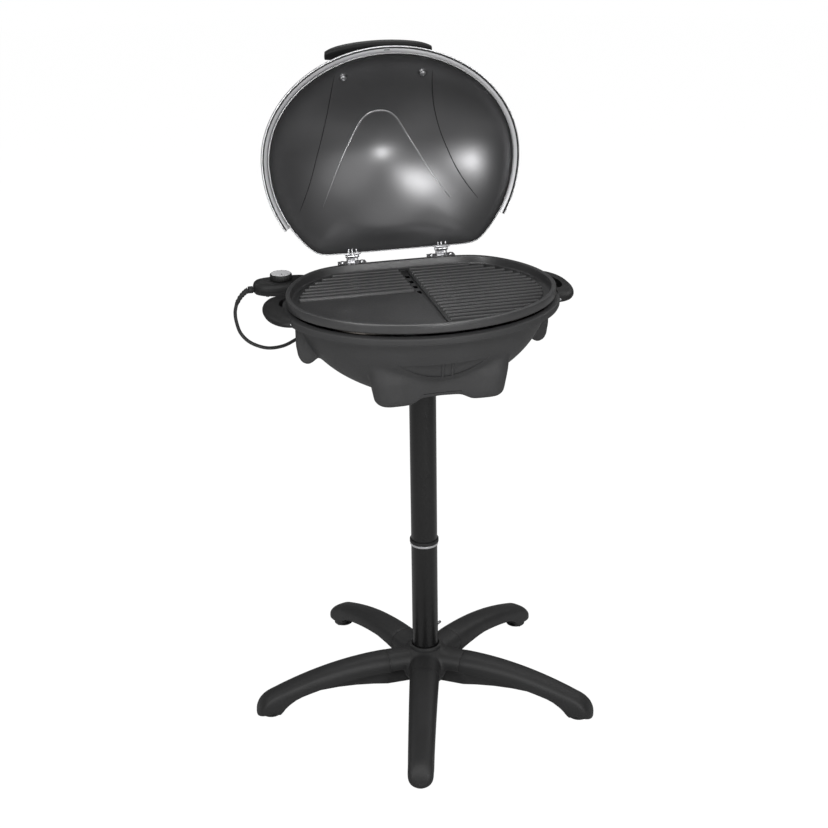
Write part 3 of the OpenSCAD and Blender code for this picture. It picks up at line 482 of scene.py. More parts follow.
class Graph:
    """Builds the nodes of one material."""

    def __init__(self, name: str) -> None:
        """Starts an empty material with one Principled shader.

        Args:
            name: Name of the material.
        """
        self.material = bpy.data.materials.new(name)
        self.material.use_nodes = True
        self.tree = self.material.node_tree
        self.shader = self.tree.nodes["Principled BSDF"]
        self.place = self.tree.nodes.new("ShaderNodeTexCoord").outputs["Object"]

    def node(self, kind: str, **inputs: object) -> bpy.types.Node:
        """Adds a node and sets or links its inputs by name.

        Args:
            kind: Type of the node.
            inputs: Numbers, colours or fields by input.

        Returns:
            The node.
        """
        node = self.tree.nodes.new(kind)
        for key, value in inputs.items():
            socket = node.inputs[key.replace("_", " ")]
            if isinstance(value, Socket):
                self.tree.links.new(value, socket)
            else:
                socket.default_value = value
        return node

    def stretched(self, by: Point) -> Socket:
        """Object coordinates that are stretched along the axes.

        Args:
            by: Stretch along X, Y and Z.

        Returns:
            The stretched coordinates.
        """
        node = self.node("ShaderNodeMapping", Vector=self.place)
        node.inputs["Scale"].default_value = by
        return node.outputs["Vector"]

    def noise(self, where: Socket, scale: float, detail: float = 3,
              rough: float = 0.55) -> Socket:
        """A noise field between 0 and 1."""
        return self.node("ShaderNodeTexNoise", Vector=where, Scale=scale, Detail=detail,
                         Roughness=rough).outputs["Fac"]

    def ramp(self, value: Socket, low: float, high: float, start: float = 0.3,
             end: float = 0.7) -> Socket:
        """Maps a field to a range.

        Args:
            value: The field.
            low: Result at the start.
            high: Result at the end.
            start: Value of the field at the start.
            end: Value of the field at the end.

        Returns:
            The mapped field.
        """
        node = self.node("ShaderNodeMapRange", Value=value)
        for key, number in (("From Min", start), ("From Max", end), ("To Min", low), ("To Max", high)):
            node.inputs[key].default_value = number
        return node.outputs["Result"]

    def mix(self, share: Socket, a: object, b: object) -> Socket:
        """Mixes two colours, each a fixed one or a field, by a field.

        Args:
            share: The field that mixes them.
            a: Colour where it is 0.
            b: Colour where it is 1.

        Returns:
            The mixed colour.
        """
        node = self.tree.nodes.new("ShaderNodeMix")
        node.data_type = "RGBA"
        self.tree.links.new(share, node.inputs[0])
        for socket, colour in ((node.inputs[6], a), (node.inputs[7], b)):
            if isinstance(colour, Socket):
                self.tree.links.new(colour, socket)
            else:
                socket.default_value = (*colour, 1)
        return node.outputs[2]

    def feed(self, value: Socket, socket: str) -> None:
        """Links a field to the shader."""
        self.tree.links.new(value, self.shader.inputs[socket])


@dataclass(frozen=True)
class Finish:
    """A surface with its own grain, colour drift, change of gloss and, where asked, a painted highlight on
    its edges.

    Attributes:
        name: Name of the material.
        colour: Linear colour.
        rough: Roughness.
        metal: Metallic share.
        grain: Size of the finest grain in millimetres.
        relief: Depth of the grain in millimetres.
        strength: Strength of the relief.
        drift: Share by which the colour wanders.
        patch: Size of the colour's patches in millimetres.
        sheen_drift: Share by which the roughness wanders.
        stretch: Stretch of the grain along X, Y and Z.
        edge_highlight: Share by which edges are lighter.
        specular: Specular level.
    """

    name: str
    colour: Point
    rough: float
    metal: float = 0.0
    grain: float = 0.6
    relief: float = 0.05
    strength: float = 0.25
    drift: float = 0.14
    patch: float = 60
    sheen_drift: float = 0.12
    stretch: Point = (1, 1, 1)
    # edge_highlight: Share by which convex edges are painted lighter, a painted highlight.
    edge_highlight: float = 0.0
    specular: float = 0.5

    def material(self) -> bpy.types.Material:
        """The material, built once.

        Returns:
            The Blender material of this finish.
        """
        known = bpy.data.materials.get(self.name)
        if known:
            return known
        graph = Graph(self.name)
        where = graph.stretched(self.stretch)
        fine = graph.noise(where, 1000 / self.grain, 4)
        broad = graph.noise(graph.place, 1000 / self.patch, 3)
        dark = tuple(c * (1 - self.drift) for c in self.colour)
        light = tuple(c * (1 + self.drift) for c in self.colour)
        share = graph.node("ShaderNodeMath")
        share.operation = "MULTIPLY_ADD"
        graph.tree.links.new(graph.ramp(broad, 0, 0.7), share.inputs[0])
        share.inputs[1].default_value = 1.0
        graph.tree.links.new(graph.ramp(fine, 0, 0.3), share.inputs[2])
        colour = graph.mix(share.outputs[0], dark, light)
        # Painted highlight: edges that pointiness finds convex are painted lighter, up to three times the
        # colour.
        if self.edge_highlight:
            geometry = graph.tree.nodes.new("ShaderNodeNewGeometry")
            edge = graph.ramp(geometry.outputs["Pointiness"], 0, self.edge_highlight, 0.52, 0.62)
            colour = graph.mix(edge, colour, tuple(min(c * 3 + 0.05, 1) for c in self.colour))
        graph.feed(colour, "Base Color")
        graph.feed(graph.ramp(graph.noise(where, 400 / self.grain, 3), self.rough * (1 - self.sheen_drift),
                              min(self.rough * (1 + self.sheen_drift), 1)), "Roughness")
        graph.shader.inputs["Metallic"].default_value = self.metal
        graph.shader.inputs["Specular IOR Level"].default_value = self.specular
        bump = graph.node("ShaderNodeBump", Height=fine, Strength=self.strength,
                          Distance=self.relief * MM)
        graph.feed(bump.outputs["Normal"], "Normal")
        return graph.material


def grey(level: float) -> Point:
    """A neutral colour."""
    return (level, level, level * 1.02)


MOULDED = Finish("moulded_plastic", grey(0.018), 0.54, grain=0.55, relief=0.06, strength=0.3, edge_highlight=0.1,
                 specular=0.38)
BOWL_PLASTIC = Finish("bowl_plastic", grey(0.04), 0.6, grain=0.7, relief=0.07, strength=0.3,
                      patch=90, edge_highlight=0.08, specular=0.35)
HANDLE_PLASTIC = Finish("handle_plastic", grey(0.013), 0.55, grain=0.5, strength=0.25, specular=0.35)
TUBE_PAINT = Finish("column_paint", grey(0.006), 0.3, grain=0.5, relief=0.02, strength=0.1,
                    stretch=(1, 1, 0.2), sheen_drift=0.1, specular=0.4)
CAST = Finish("cast_nonstick", grey(0.032), 0.38, grain=1.4, relief=0.12, strength=0.5, patch=45,
              edge_highlight=0.55, specular=0.6)
LID_PAINT = Finish("lid_coat", grey(0.165), 0.32, metal=0.8, grain=0.35, relief=0.004,
                   strength=0.02, drift=0.06, patch=120, sheen_drift=0.05)
# Painted shade: the two pressed creases are coloured near black for the shade along their edge.
CREASE_SHADE = Finish("lid_crease_shade", grey(0.012), 0.5, grain=0.3, relief=0.01, strength=0.1)
# Painted highlight: the pressed arch is coloured light grey for the light on its ridge.
RIDGE_HIGHLIGHT = Finish("lid_ridge_painted_highlight", grey(0.3), 0.3, metal=0.6, grain=0.3, relief=0.01, strength=0.1)
SILVER = Finish("silver_paint", grey(0.62), 0.38, metal=0.5, grain=0.3, relief=0.01, strength=0.08,
                drift=0.05)
CHROME = Finish("bright_plate", grey(0.62), 0.3, metal=1, grain=0.4, relief=0.01, strength=0.06,
                drift=0.05)
STEEL = Finish("zinc_steel", grey(0.42), 0.36, metal=1, grain=0.5, relief=0.02, strength=0.15)
RUBBER = Finish("soft_rubber", grey(0.014), 0.72, grain=0.8, relief=0.08, strength=0.35)
CORD_RUBBER = Finish("cord_sheath", grey(0.02), 0.5, grain=0.6, relief=0.03, strength=0.2)
PAN_METAL = Finish("pan_aluminium", grey(0.46), 0.4, metal=0.9, grain=0.6, stretch=(1, 0.2, 1))
SHEATH = Finish("sheath_metal", (0.11, 0.10, 0.09), 0.45, metal=0.8, grain=0.8, relief=0.05)
CERAMIC = Finish("ceramic", (0.52, 0.49, 0.44), 0.6, grain=0.7)
CONTACT = Finish("contact_brass", (0.55, 0.42, 0.2), 0.3, metal=1, grain=0.4)
SWITCH = Finish("switch_housing", (0.6, 0.57, 0.5), 0.5, grain=0.6)
SEAL = Finish("lid_seal", grey(0.01), 0.6, grain=0.6)
DIAL = Finish("dial_disc", grey(0.8), 0.45, metal=0.2, grain=0.25, relief=0.01, strength=0.1,
              drift=0.04)
MARK = Finish("dial_marks", grey(0.03), 0.5, grain=0.4)


def dress(obj: Piece, finish: Finish, body: str, slot: str, *nodes: str,
          smooth: float = 32) -> Piece:
    """Gives a finished piece its material and its body, and hides the CAD nodes that it replaces.

    Args:
        obj: The piece.
        finish: Its finish.
        body: The body that it rides on.
        slot: Name of a material slot; not used.
        nodes: CAD nodes that it replaces.
        smooth: Edges under this angle, in degrees, are shaded smooth.

    Returns:
        The same piece.
    """
    obj.data.materials.clear()
    obj.data.materials.append(finish.material())
    if obj.type == "MESH":
        take(obj)
        bpy.ops.object.shade_smooth_by_angle(angle=math.radians(smooth))
    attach(obj, body)
    if nodes:
        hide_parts(*nodes)
    LOG.info("%s: %d faces on %s", obj.name, len(getattr(obj.data, "polygons", [])), body)
    return obj


def carry_over(node: str, finish: Finish, edge: float = 0) -> None:
    """Gives a CAD node its finish and, where asked, rounds its edges by modifiers.

    Args:
        node: Name of the CAD node.
        finish: Its finish.
        edge: Width of the rounding in millimetres.
    """
    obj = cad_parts[node]
    if not obj.material_slots:
        obj.data.materials.append(finish.material())
    for material_slot in obj.material_slots:
        material_slot.material = finish.material()
    if edge:
        weld = obj.modifiers.new("Weld", "WELD")
        weld.merge_threshold = WELD
        bevel = obj.modifiers.new("Bevel", "BEVEL")
        bevel.width = edge * MM
        bevel.segments = 2
        bevel.limit_method = "ANGLE"
        bevel.angle_limit = math.radians(FOLD)
        bevel.harden_normals = True


# ---------------------------------------------------------------- camera, light and floor


@dataclass
class Studio:
    """Camera, soft lights and a plain white floor.

    Attributes:
        eye: Place of the camera in millimetres.
        tilt: Degrees by which the camera looks down.
        pan: Degrees by which it looks aside, from the front.
        roll: Degrees by which it is rolled.
        focal: Focal length in millimetres.
        sensor: Width of the camera's sensor in millimetres.
        aim: Point that the lamps are turned to, in millimetres.
        lamps: Azimuth, elevation, distance in metres, size in metres and watts of each lamp.
        floor_radius: Radius of the floor in metres.
        floor_grey: Colour of the floor as the object sees it.
        floor_glow: Strength of the white that the camera sees.
        floor_veil: Share of that white in what the camera sees.
        sky: Strength of the light from all round.
    """

    eye: Point = (-556.2, -2230.9, 1465.7)
    tilt: float = 22.91
    pan: float = -13.66
    roll: float = -0.79
    focal: float = 69.87
    sensor: float = 36
    aim: Point = (0, 20, 620)
    lamps: list[tuple[float, float, float, float, float]] = field(default_factory=lambda: [
        (-15, 37.7, 2.5, 0.72, 21), (10, 9, 2.4, 0.4, 15), (-46.3, 16.7, 2.4, 0.3, 15),
        (38, 22, 2.45, 1.7, 7.5), (25, 66, 2.6, 2, 6),
        (114, 35, 2.8, 1.2, 12), (-114, 35, 2.8, 1.2, 12), (165, 60, 2.6, 1.4, 20)])
    floor_radius: float = 7
    floor_grey: float = 0.62
    floor_glow: float = 1.1
    floor_veil: float = 0.9
    sky: float = 0.1

    def camera(self) -> None:
        """Sets up the camera, which sees the whole grill from the left front."""
        deselect()
        bpy.ops.object.camera_add()
        obj = bpy.context.object
        obj.name = "camera"
        tilt, pan, roll = (math.radians(v) for v in (self.tilt, self.pan, self.roll))
        ahead = Vector((-math.sin(pan) * math.cos(tilt), math.cos(pan) * math.cos(tilt), -math.sin(tilt)))
        right = Vector((math.cos(pan), math.sin(pan), 0))
        up = right.cross(ahead)
        side = math.cos(roll) * right + math.sin(roll) * up
        over = math.cos(roll) * up - math.sin(roll) * right
        turn = Matrix((side, over, -ahead)).transposed().to_4x4()
        obj.matrix_world = Matrix.Translation(Vector(self.eye) * MM) @ turn
        obj.data.sensor_width = self.sensor
        obj.data.lens = self.focal
        obj.data.clip_end = 50
        bpy.context.scene.camera = obj

    def lights(self) -> None:
        """Adds the lamps round the grill, each turned to its head."""
        target = Vector(self.aim) * MM
        for i, (azimuth, elevation, distance, size, watts) in enumerate(self.lamps):
            a, e = math.radians(azimuth), math.radians(elevation)
            way = Vector((math.sin(a) * math.cos(e), -math.cos(a) * math.cos(e), math.sin(e)))
            deselect()
            bpy.ops.object.light_add(type="AREA", location=target + way * distance)
            lamp = bpy.context.object
            lamp.name = f"lamp_{i}"
            lamp.data.shape = "DISK"
            lamp.data.size = size
            lamp.data.energy = watts
            lamp.rotation_euler = way.to_track_quat("Z", "Y").to_euler()

    def floor(self) -> None:
        """Makes the floor, which takes shadows and which the camera sees as nearly white."""
        deselect()
        bpy.ops.mesh.primitive_circle_add(vertices=64, radius=self.floor_radius, fill_type="NGON",
                                          location=(0, 0, -0.0004))
        floor = bpy.context.object
        floor.name = "floor"
        bpy.ops.object.transform_apply(location=True)
        graph = Graph("studio_floor")
        graph.shader.inputs["Base Color"].default_value = (*[self.floor_grey] * 3, 1)
        graph.shader.inputs["Roughness"].default_value = 0.9
        tree = graph.tree
        path = tree.nodes.new("ShaderNodeLightPath")
        white = tree.nodes.new("ShaderNodeEmission")
        white.inputs["Strength"].default_value = self.floor_glow
        share = graph.node("ShaderNodeMath", Value=path.outputs["Is Camera Ray"])
        share.operation = "MULTIPLY"
        share.inputs[1].default_value = self.floor_veil
        mix = tree.nodes.new("ShaderNodeMixShader")
        tree.links.new(share.outputs[0], mix.inputs[0])
        tree.links.new(graph.shader.outputs[0], mix.inputs[1])
        tree.links.new(white.outputs[0], mix.inputs[2])
        tree.links.new(mix.outputs[0], tree.nodes["Material Output"].inputs["Surface"])
        floor.data.materials.append(graph.material)

    def world(self) -> None:
        """Makes the dim world, which the camera sees as plain white."""
        world = bpy.data.worlds.new("studio")
        bpy.context.scene.world = world
        world.use_nodes = True
        tree = world.node_tree
        base = tree.nodes["Background"]
        base.inputs["Color"].default_value = (1, 1, 1, 1)
        path = tree.nodes.new("ShaderNodeLightPath")
        see = tree.nodes.new("ShaderNodeMapRange")
        tree.links.new(path.outputs["Is Camera Ray"], see.inputs["Value"])
        see.inputs["To Min"].default_value = self.sky
        see.inputs["To Max"].default_value = 1.0
        tree.links.new(see.outputs["Result"], base.inputs["Strength"])
        bpy.context.scene.view_settings.view_transform = "Standard"

    def build(self) -> None:
        """Sets up camera, lamps, floor and world."""
        self.camera()
        self.lights()
        self.floor()
        self.world()


# ---------------------------------------------------------------- power cord


@dataclass
class PowerCord:
    """The mains lead: a loop at the controller, a drop behind the column and a coil with its plug.

    Attributes:
        diameter: Diameter of the sheath in millimetres.
        loop: Route of the loop.
        drop: Route from under the bowl to the coil.
        coil_far: Distance of the coil from the column.
        coil_bearing: Bearing of the coil in degrees.
        coil_radius: Radius at the middle of its turns.
        relief: Route of the strain relief.
    """

    diameter: float = 5.5
    loop: list[Point] = field(default_factory=lambda: [
        (-264, 122, 659), (-267, 122, 646), (-266, 122, 630), (-260, 122, 610), (-245, 122, 593),
        (-220, 122, 582), (-194, 122, 583), (-172.7, 122.9, 591.8)])
    drop: list[Point] = field(default_factory=lambda: [
        (-172, 123, 592), (-150, 126, 598), (-120, 129, 600), (-90, 130, 595), (-62, 127, 583),
        (-40, 116, 565), (-22, 94, 540), (-8, 66, 508), (2, 44, 470), (7, 33, 430), (8, 31, 380),
        (8, 31, 250), (9, 34, 180), (12, 45, 130), (15, 56, 95), (16, 61, 68), (16, 62, 48)])
    coil_far: float = 93
    coil_bearing: float = 76
    coil_radius: float = 31
    relief: list[Point] = field(default_factory=lambda: [
        (-245, 122, 680), (-251, 122, 676), (-258, 122, 669), (-264, 122, 659)])

    def beside(self, out: float, across: float, z: float) -> Point:
        """A point given from the coil's middle, outwards and across.

        Args:
            out: Distance outwards from the coil's middle.
            across: Distance across.
            z: Height of the point.

        Returns:
            The point.
        """
        a = math.radians(self.coil_bearing)
        return ((self.coil_far + out) * math.cos(a) - across * math.sin(a),
                (self.coil_far + out) * math.sin(a) + across * math.cos(a), z)

    def on_coil(self, turn: float, z: float) -> Point:
        """A point on the coil, turned from its side nearest to the column."""
        a = math.radians(turn)
        return self.beside(-self.coil_radius * math.cos(a), self.coil_radius * math.sin(a), z)

    def wound(self) -> list[Point]:
        """The route of the stored length.

        Returns:
            The points from the drop, round the coil and to the plug.
        """
        radius = self.diameter / 2
        top, above = 3 * self.diameter + radius, self.drop[-1][2]
        start, end, landing, steps = 132, 1170, 6, 72
        points = spline(self.drop, 3)
        for i in range(1, landing + 1):
            z = top + (above - top) * (1 - i / landing) ** 2.4
            points.append(self.on_coil(start * i / landing, z))
        for i in range(1, steps + 1):
            turn = start + (end - start) * i / steps
            points.append(self.on_coil(turn, top + (radius - top) * i / steps))
        lead = [self.beside(o, e, radius) for o, e in ((0, 31), (20, 31), (38, 24), (56, 12))]
        return points + spline(lead, 4)[1:]

    def lead(self, name: str, points: list[Point], body: str, far_end: str, lay: str,
             nodes: tuple[str, ...], carried: tuple[str, ...]) -> None:
        """Makes one stretch of the lead.

        Args:
            name: Name of the piece.
            points: Its route in millimetres.
            body: The body that it rides on.
            far_end: What is at its far end; not used.
            lay: How it lies; not used.
            nodes: CAD nodes that it replaces.
            carried: Pieces that go with it; not used.
        """
        data = bpy.data.curves.new(name, "CURVE")
        data.dimensions = "3D"
        line = data.splines.new("POLY")
        line.points.add(len(points) - 1)
        for point, place in zip(line.points, points):
            point.co = (*(v * MM for v in place), 1)
        line.use_smooth = True
        data.bevel_depth = self.diameter / 2 * MM
        data.bevel_resolution = 5
        data.use_fill_caps = True
        obj = bpy.data.objects.new(name, data)
        bpy.context.collection.objects.link(obj)
        dress(obj, CORD_RUBBER, body, "cord_rubber", *nodes)

    def strain_relief(self) -> None:
        """The ribbed boot where the lead leaves the controller."""
        path = spline(self.relief, 8)
        last = len(path) - 1
        thick, taper, groove = 4.8, 1.35, 0.55
        radii = [thick - taper * i / last - (groove if i % 4 >= 2 else 0) for i in range(last + 1)]
        dress(rod("relief_boot", path, radii, 20), RUBBER, "controller", "cord_rubber", "strain_relief")

    def build(self) -> None:
        """Makes both stretches, the boot and what the plug needs."""
        self.lead("cord_at_controller", spline(self.loop, 5), "controller", "object", "hanging",
                  ("cord_loop",), ())
        self.lead("cord_with_coil", self.wound(), "stand", "plug", "coiled",
                  ("cord_drop", "cord_coil", "plug_lead"), ("plug_body", "plug_pins", "coil_tie"))
        self.strain_relief()
        carry_over("plug_body", CORD_RUBBER, 0.8)
        carry_over("plug_pins", STEEL, 0.4)
        carry_over("coil_tie", RUBBER, 0.3)


# ---------------------------------------------------------------- foot star and column


@dataclass
class FootStar:
    """Five hollow legs on a hub.

    Attributes:
        bearings: Bearing of each leg in degrees, by node.
        seam: Radius of the seam between hub and leg.
        toe: Radius at which a leg's top starts to fall.
        reach: Radius of the toes' ends.
        crown: Height of the crown at the hub.
        sink: How far the crown falls along a leg.
        arch: Height of a leg's underside at the hub.
        run: Length over which a leg falls and narrows.
        width: Width of a leg at the hub.
        narrow: How much narrower a leg is at its end.
        wall: Wall of the mouldings.
        web: Half the thickness of the webs inside hub and legs.
        joint: Half the width of the visible seam.
        gap: Half the gap between the webs at the seam.
    """

    bearings: dict[str, float] = field(default_factory=lambda: {
        "leg_front": -106, "leg_right_front": -34, "leg_right_rear": 38, "leg_left_rear": 110,
        "leg_left_front": 182})
    seam: float = 66
    toe: float = 256
    reach: float = 286
    crown: float = 77
    sink: float = 39
    arch: float = 52
    run: float = 194
    width: float = 48
    narrow: float = 8
    wall: float = 3
    web: float = 1.5
    joint: float = 0.25
    gap: float = 0.05

    def section(self, r: float, inset: float = 0, steps: int = 44) -> Ring:
        """The section of a leg in the plane at radius r.

        Args:
            r: Distance from the column's axis.
            inset: How far the section lies inside the outer skin.
            steps: Points round the section.

        Returns:
            The ring, for a leg along +X.
        """
        out = max(r - self.seam, 0)
        run = out / self.run
        top = self.crown - self.sink * run * run
        if r > self.toe:
            fall = math.sqrt(max(1 - ((r - self.toe) / (self.reach - self.toe)) ** 2.8, 0.03))
            top = 3 + (top - 3) * fall
        half = (self.width - self.narrow * min(run, 1)) / 2
        nose = (self.width - self.narrow) / 2
        if r > self.reach - nose:
            half = nose * max(1 - ((r - self.reach + nose) / nose) ** 2.7, 0.02) ** (1 / 2.7)
        arch = self.arch - 31 * (out / 177) ** 2 - 11 * (max(r - 214, 0) / 30) ** 2
        low = blend(max(arch, 8), 0.8, (r - 243) / 9)
        blunt = min(max((r - 236) / 24, 0), 1)
        middle = blend(top - 0.86 * half, 0.42 * (top + 3), blunt)
        ring = []
        for c, s in around(steps):
            k = bulge(c, s, 2.6 + 0.4 * blunt if s > 0 else 14 - 11 * blunt)
            high = (top - middle - inset) if s > 0 else (middle - low + inset * 3)
            ring.append((r, (half - inset) * k * c, middle + high * k * s))
        return ring

    def leg(self) -> Piece:
        """One hollow leg along +X with its web and its toe.

        Returns:
            The leg, to be turned to its bearing.
        """
        stations = [self.seam + self.joint + 168 * i / 17 for i in range(18)]
        stations += [237, 240, 243, 245, 246.5, 248, 249.5, 251, 255, 259, 263, 267, 270, 273, 276, 278.5,
                     280.5, 282.3, 283.8, 284.9, 285.6, self.reach]
        leg = rounded(loft("leg", [self.section(r) for r in stations]), 0.5, 2, 60)
        inner = [self.section(self.seam + 3.5 + 170 * i / 12, self.wall) for i in range(13)]
        cut(leg, loft("inner", inner))
        lows = [(self.seam + self.gap, 18), (90, 22), (120, 25.5), (150, 27), (190, 26), (238, 25)]
        highs = [(238, 43), (190, 58), (130, 70), (self.seam + self.gap, self.crown - 2)]
        web = loft("web", [[(x, y, z) for x, z in lows + highs] for y in (-self.web, self.web)])
        return together("leg", [leg, web])

    def arm(self) -> Piece:
        """One solid arm of the hub, along +X and a little beyond the seam."""
        return loft("arm", [self.section(r) for r in (6, 24, 40, 54, 64, 74)])

    def hub(self) -> Piece:
        """The hub: arms and barrel run together, then bored and hollowed.

        Returns:
            The hub.
        """
        turns = list(self.bearings.values())
        arms = spread(self.arm(), "arm", turns)
        barrel = turned("barrel", [(0.5, 18), (27, 18), (30, 21), (34, 27), (42, 36), (47, 46), (46, 57),
                                   (39, 66), (31, 74), (27, 80), (25.5, 81), (0.5, 81)], loop=False)
        hub = melted(together("hub", arms + [barrel]), voxel=1.5, passes=34, strength=0.6)
        bore = turned("bore", [(BORE, 24), (BORE, 100)], loop=False)
        cut(hub, together("cutter", [bore] + self.hollow()))
        web = block("web", (24, -self.web, 18), (self.seam - self.gap, self.web, 64))
        return together("hub", [hub] + spread(web, "web", turns))

    def hollow(self) -> list[Piece]:
        """Cutters that end the arms at the seam and empty them from below.

        Returns:
            An end and a room for each arm.
        """
        cutters = []
        end = block("end", (self.seam - self.joint, -40, 10), (self.seam + 30, 40, 100))
        far = self.seam - self.wall
        room = slab("room", [(32, -20), (far, -20.5), (far, 20.5), (32, 20)], 10, 62)
        rounded(room, 4, 2, 80)
        for bearing in self.bearings.values():
            for cutter in (end, room):
                cutters.append(copied(cutter, cutter.name, turn_about_z(bearing)))
        discard(end, room)
        return cutters

    def collar(self) -> Piece:
        """The raised ring round the column's foot."""
        return turned("hub_collar", [(BORE, 74), (25.6, 74), (26.2, 80), (26.0, 83.4), (25.2, 85.2),
                                     (23.8, 86), (22.6, 85.8), (21.8, 85), (BORE, 83.5)], steps=96)

    def build(self) -> None:
        """Makes the hub and five copies of the leg, and dresses the hardware."""
        dress(self.hub(), MOULDED, "stand", "black_plastic", "base_hub", smooth=40)
        dress(self.collar(), MOULDED, "stand", "black_plastic", "base_hub")
        master = self.leg()
        for node, bearing in self.bearings.items():
            twin = copied(master, f"{node}_moulding", turn_about_z(bearing))
            dress(twin, MOULDED, "stand", "black_plastic", node)
        discard(master)
        carry_over("floor_pads", RUBBER, 0.6)
        carry_over("leg_screws", STEEL, 0.3)


@dataclass
class Column:
    """Two painted tubes with a bright ring and a collar at their joint.

    Attributes:
        radius: Outer radius of the tubes.
        wall: Wall of the tubes.
        foot: Height of the lower end.
        joint: Height of the joint.
        top: Height of the upper end.
        band: Height of the bright ring.
        collar: Height of the collar's top above the joint.
    """

    radius: float = 21
    wall: float = 1.5
    foot: float = 24
    joint: float = 269
    top: float = 598.4
    band: float = 4
    collar: float = 9.5

    def tube(self, name: str, low: float, high: float) -> Piece:
        """One tube with rounded lips.

        Args:
            name: Name of the tube.
            low: Height of its lower end.
            high: Height of its upper end.

        Returns:
            The tube.
        """
        r, inner = self.radius, self.radius - self.wall
        return turned(name, [(inner, low), (r - 0.4, low), (r, low + 0.4), (r, high - 0.4),
                             (r - 0.4, high), (inner, high)], steps=96)

    def ring(self, name: str, low: float, high: float, proud: float, inner: float) -> Piece:
        """One ring round the joint, with rounded edges.

        Args:
            name: Name of the ring.
            low: Height of its underside.
            high: Height of its top.
            proud: How far it stands out of the tube.
            inner: Its inner radius.

        Returns:
            The ring.
        """
        r = self.radius + proud
        return turned(name, [(inner, low), (r - 0.5, low), (r - 0.15, low + 0.15), (r, low + 0.5),
                             (r, high - 0.5), (r - 0.15, high - 0.15), (r - 0.5, high), (inner, high)],
                      steps=96)

    def build(self) -> None:
        """Makes the tubes and the rings."""
        start = self.joint + self.band
        lower = self.tube("column_lower", self.foot, self.joint)
        upper = self.tube("column_upper", start, self.top)
        band = self.ring("joint_band", self.joint, start, 1.5, self.radius - self.wall)
        collar = self.ring("joint_collar", start + 0.1, self.joint + self.collar, 2.2, self.radius - 0.4)
        dress(lower, TUBE_PAINT, "stand", "black_paint", "lower_tube")
        dress(upper, TUBE_PAINT, "stand", "black_paint", "upper_tube")
        dress(band, CHROME, "stand", "chrome", "joint_ring")
        dress(collar, HANDLE_PLASTIC, "stand", "black_plastic", "upper_tube")
        for node, finish in (("joint_coupler", STEEL), ("tube_foot_insert", STEEL), ("column_bolt", STEEL),
                             ("tube_cap", HANDLE_PLASTIC)):
            carry_over(node, finish, 0.3)


# ---------------------------------------------------------------- bowl


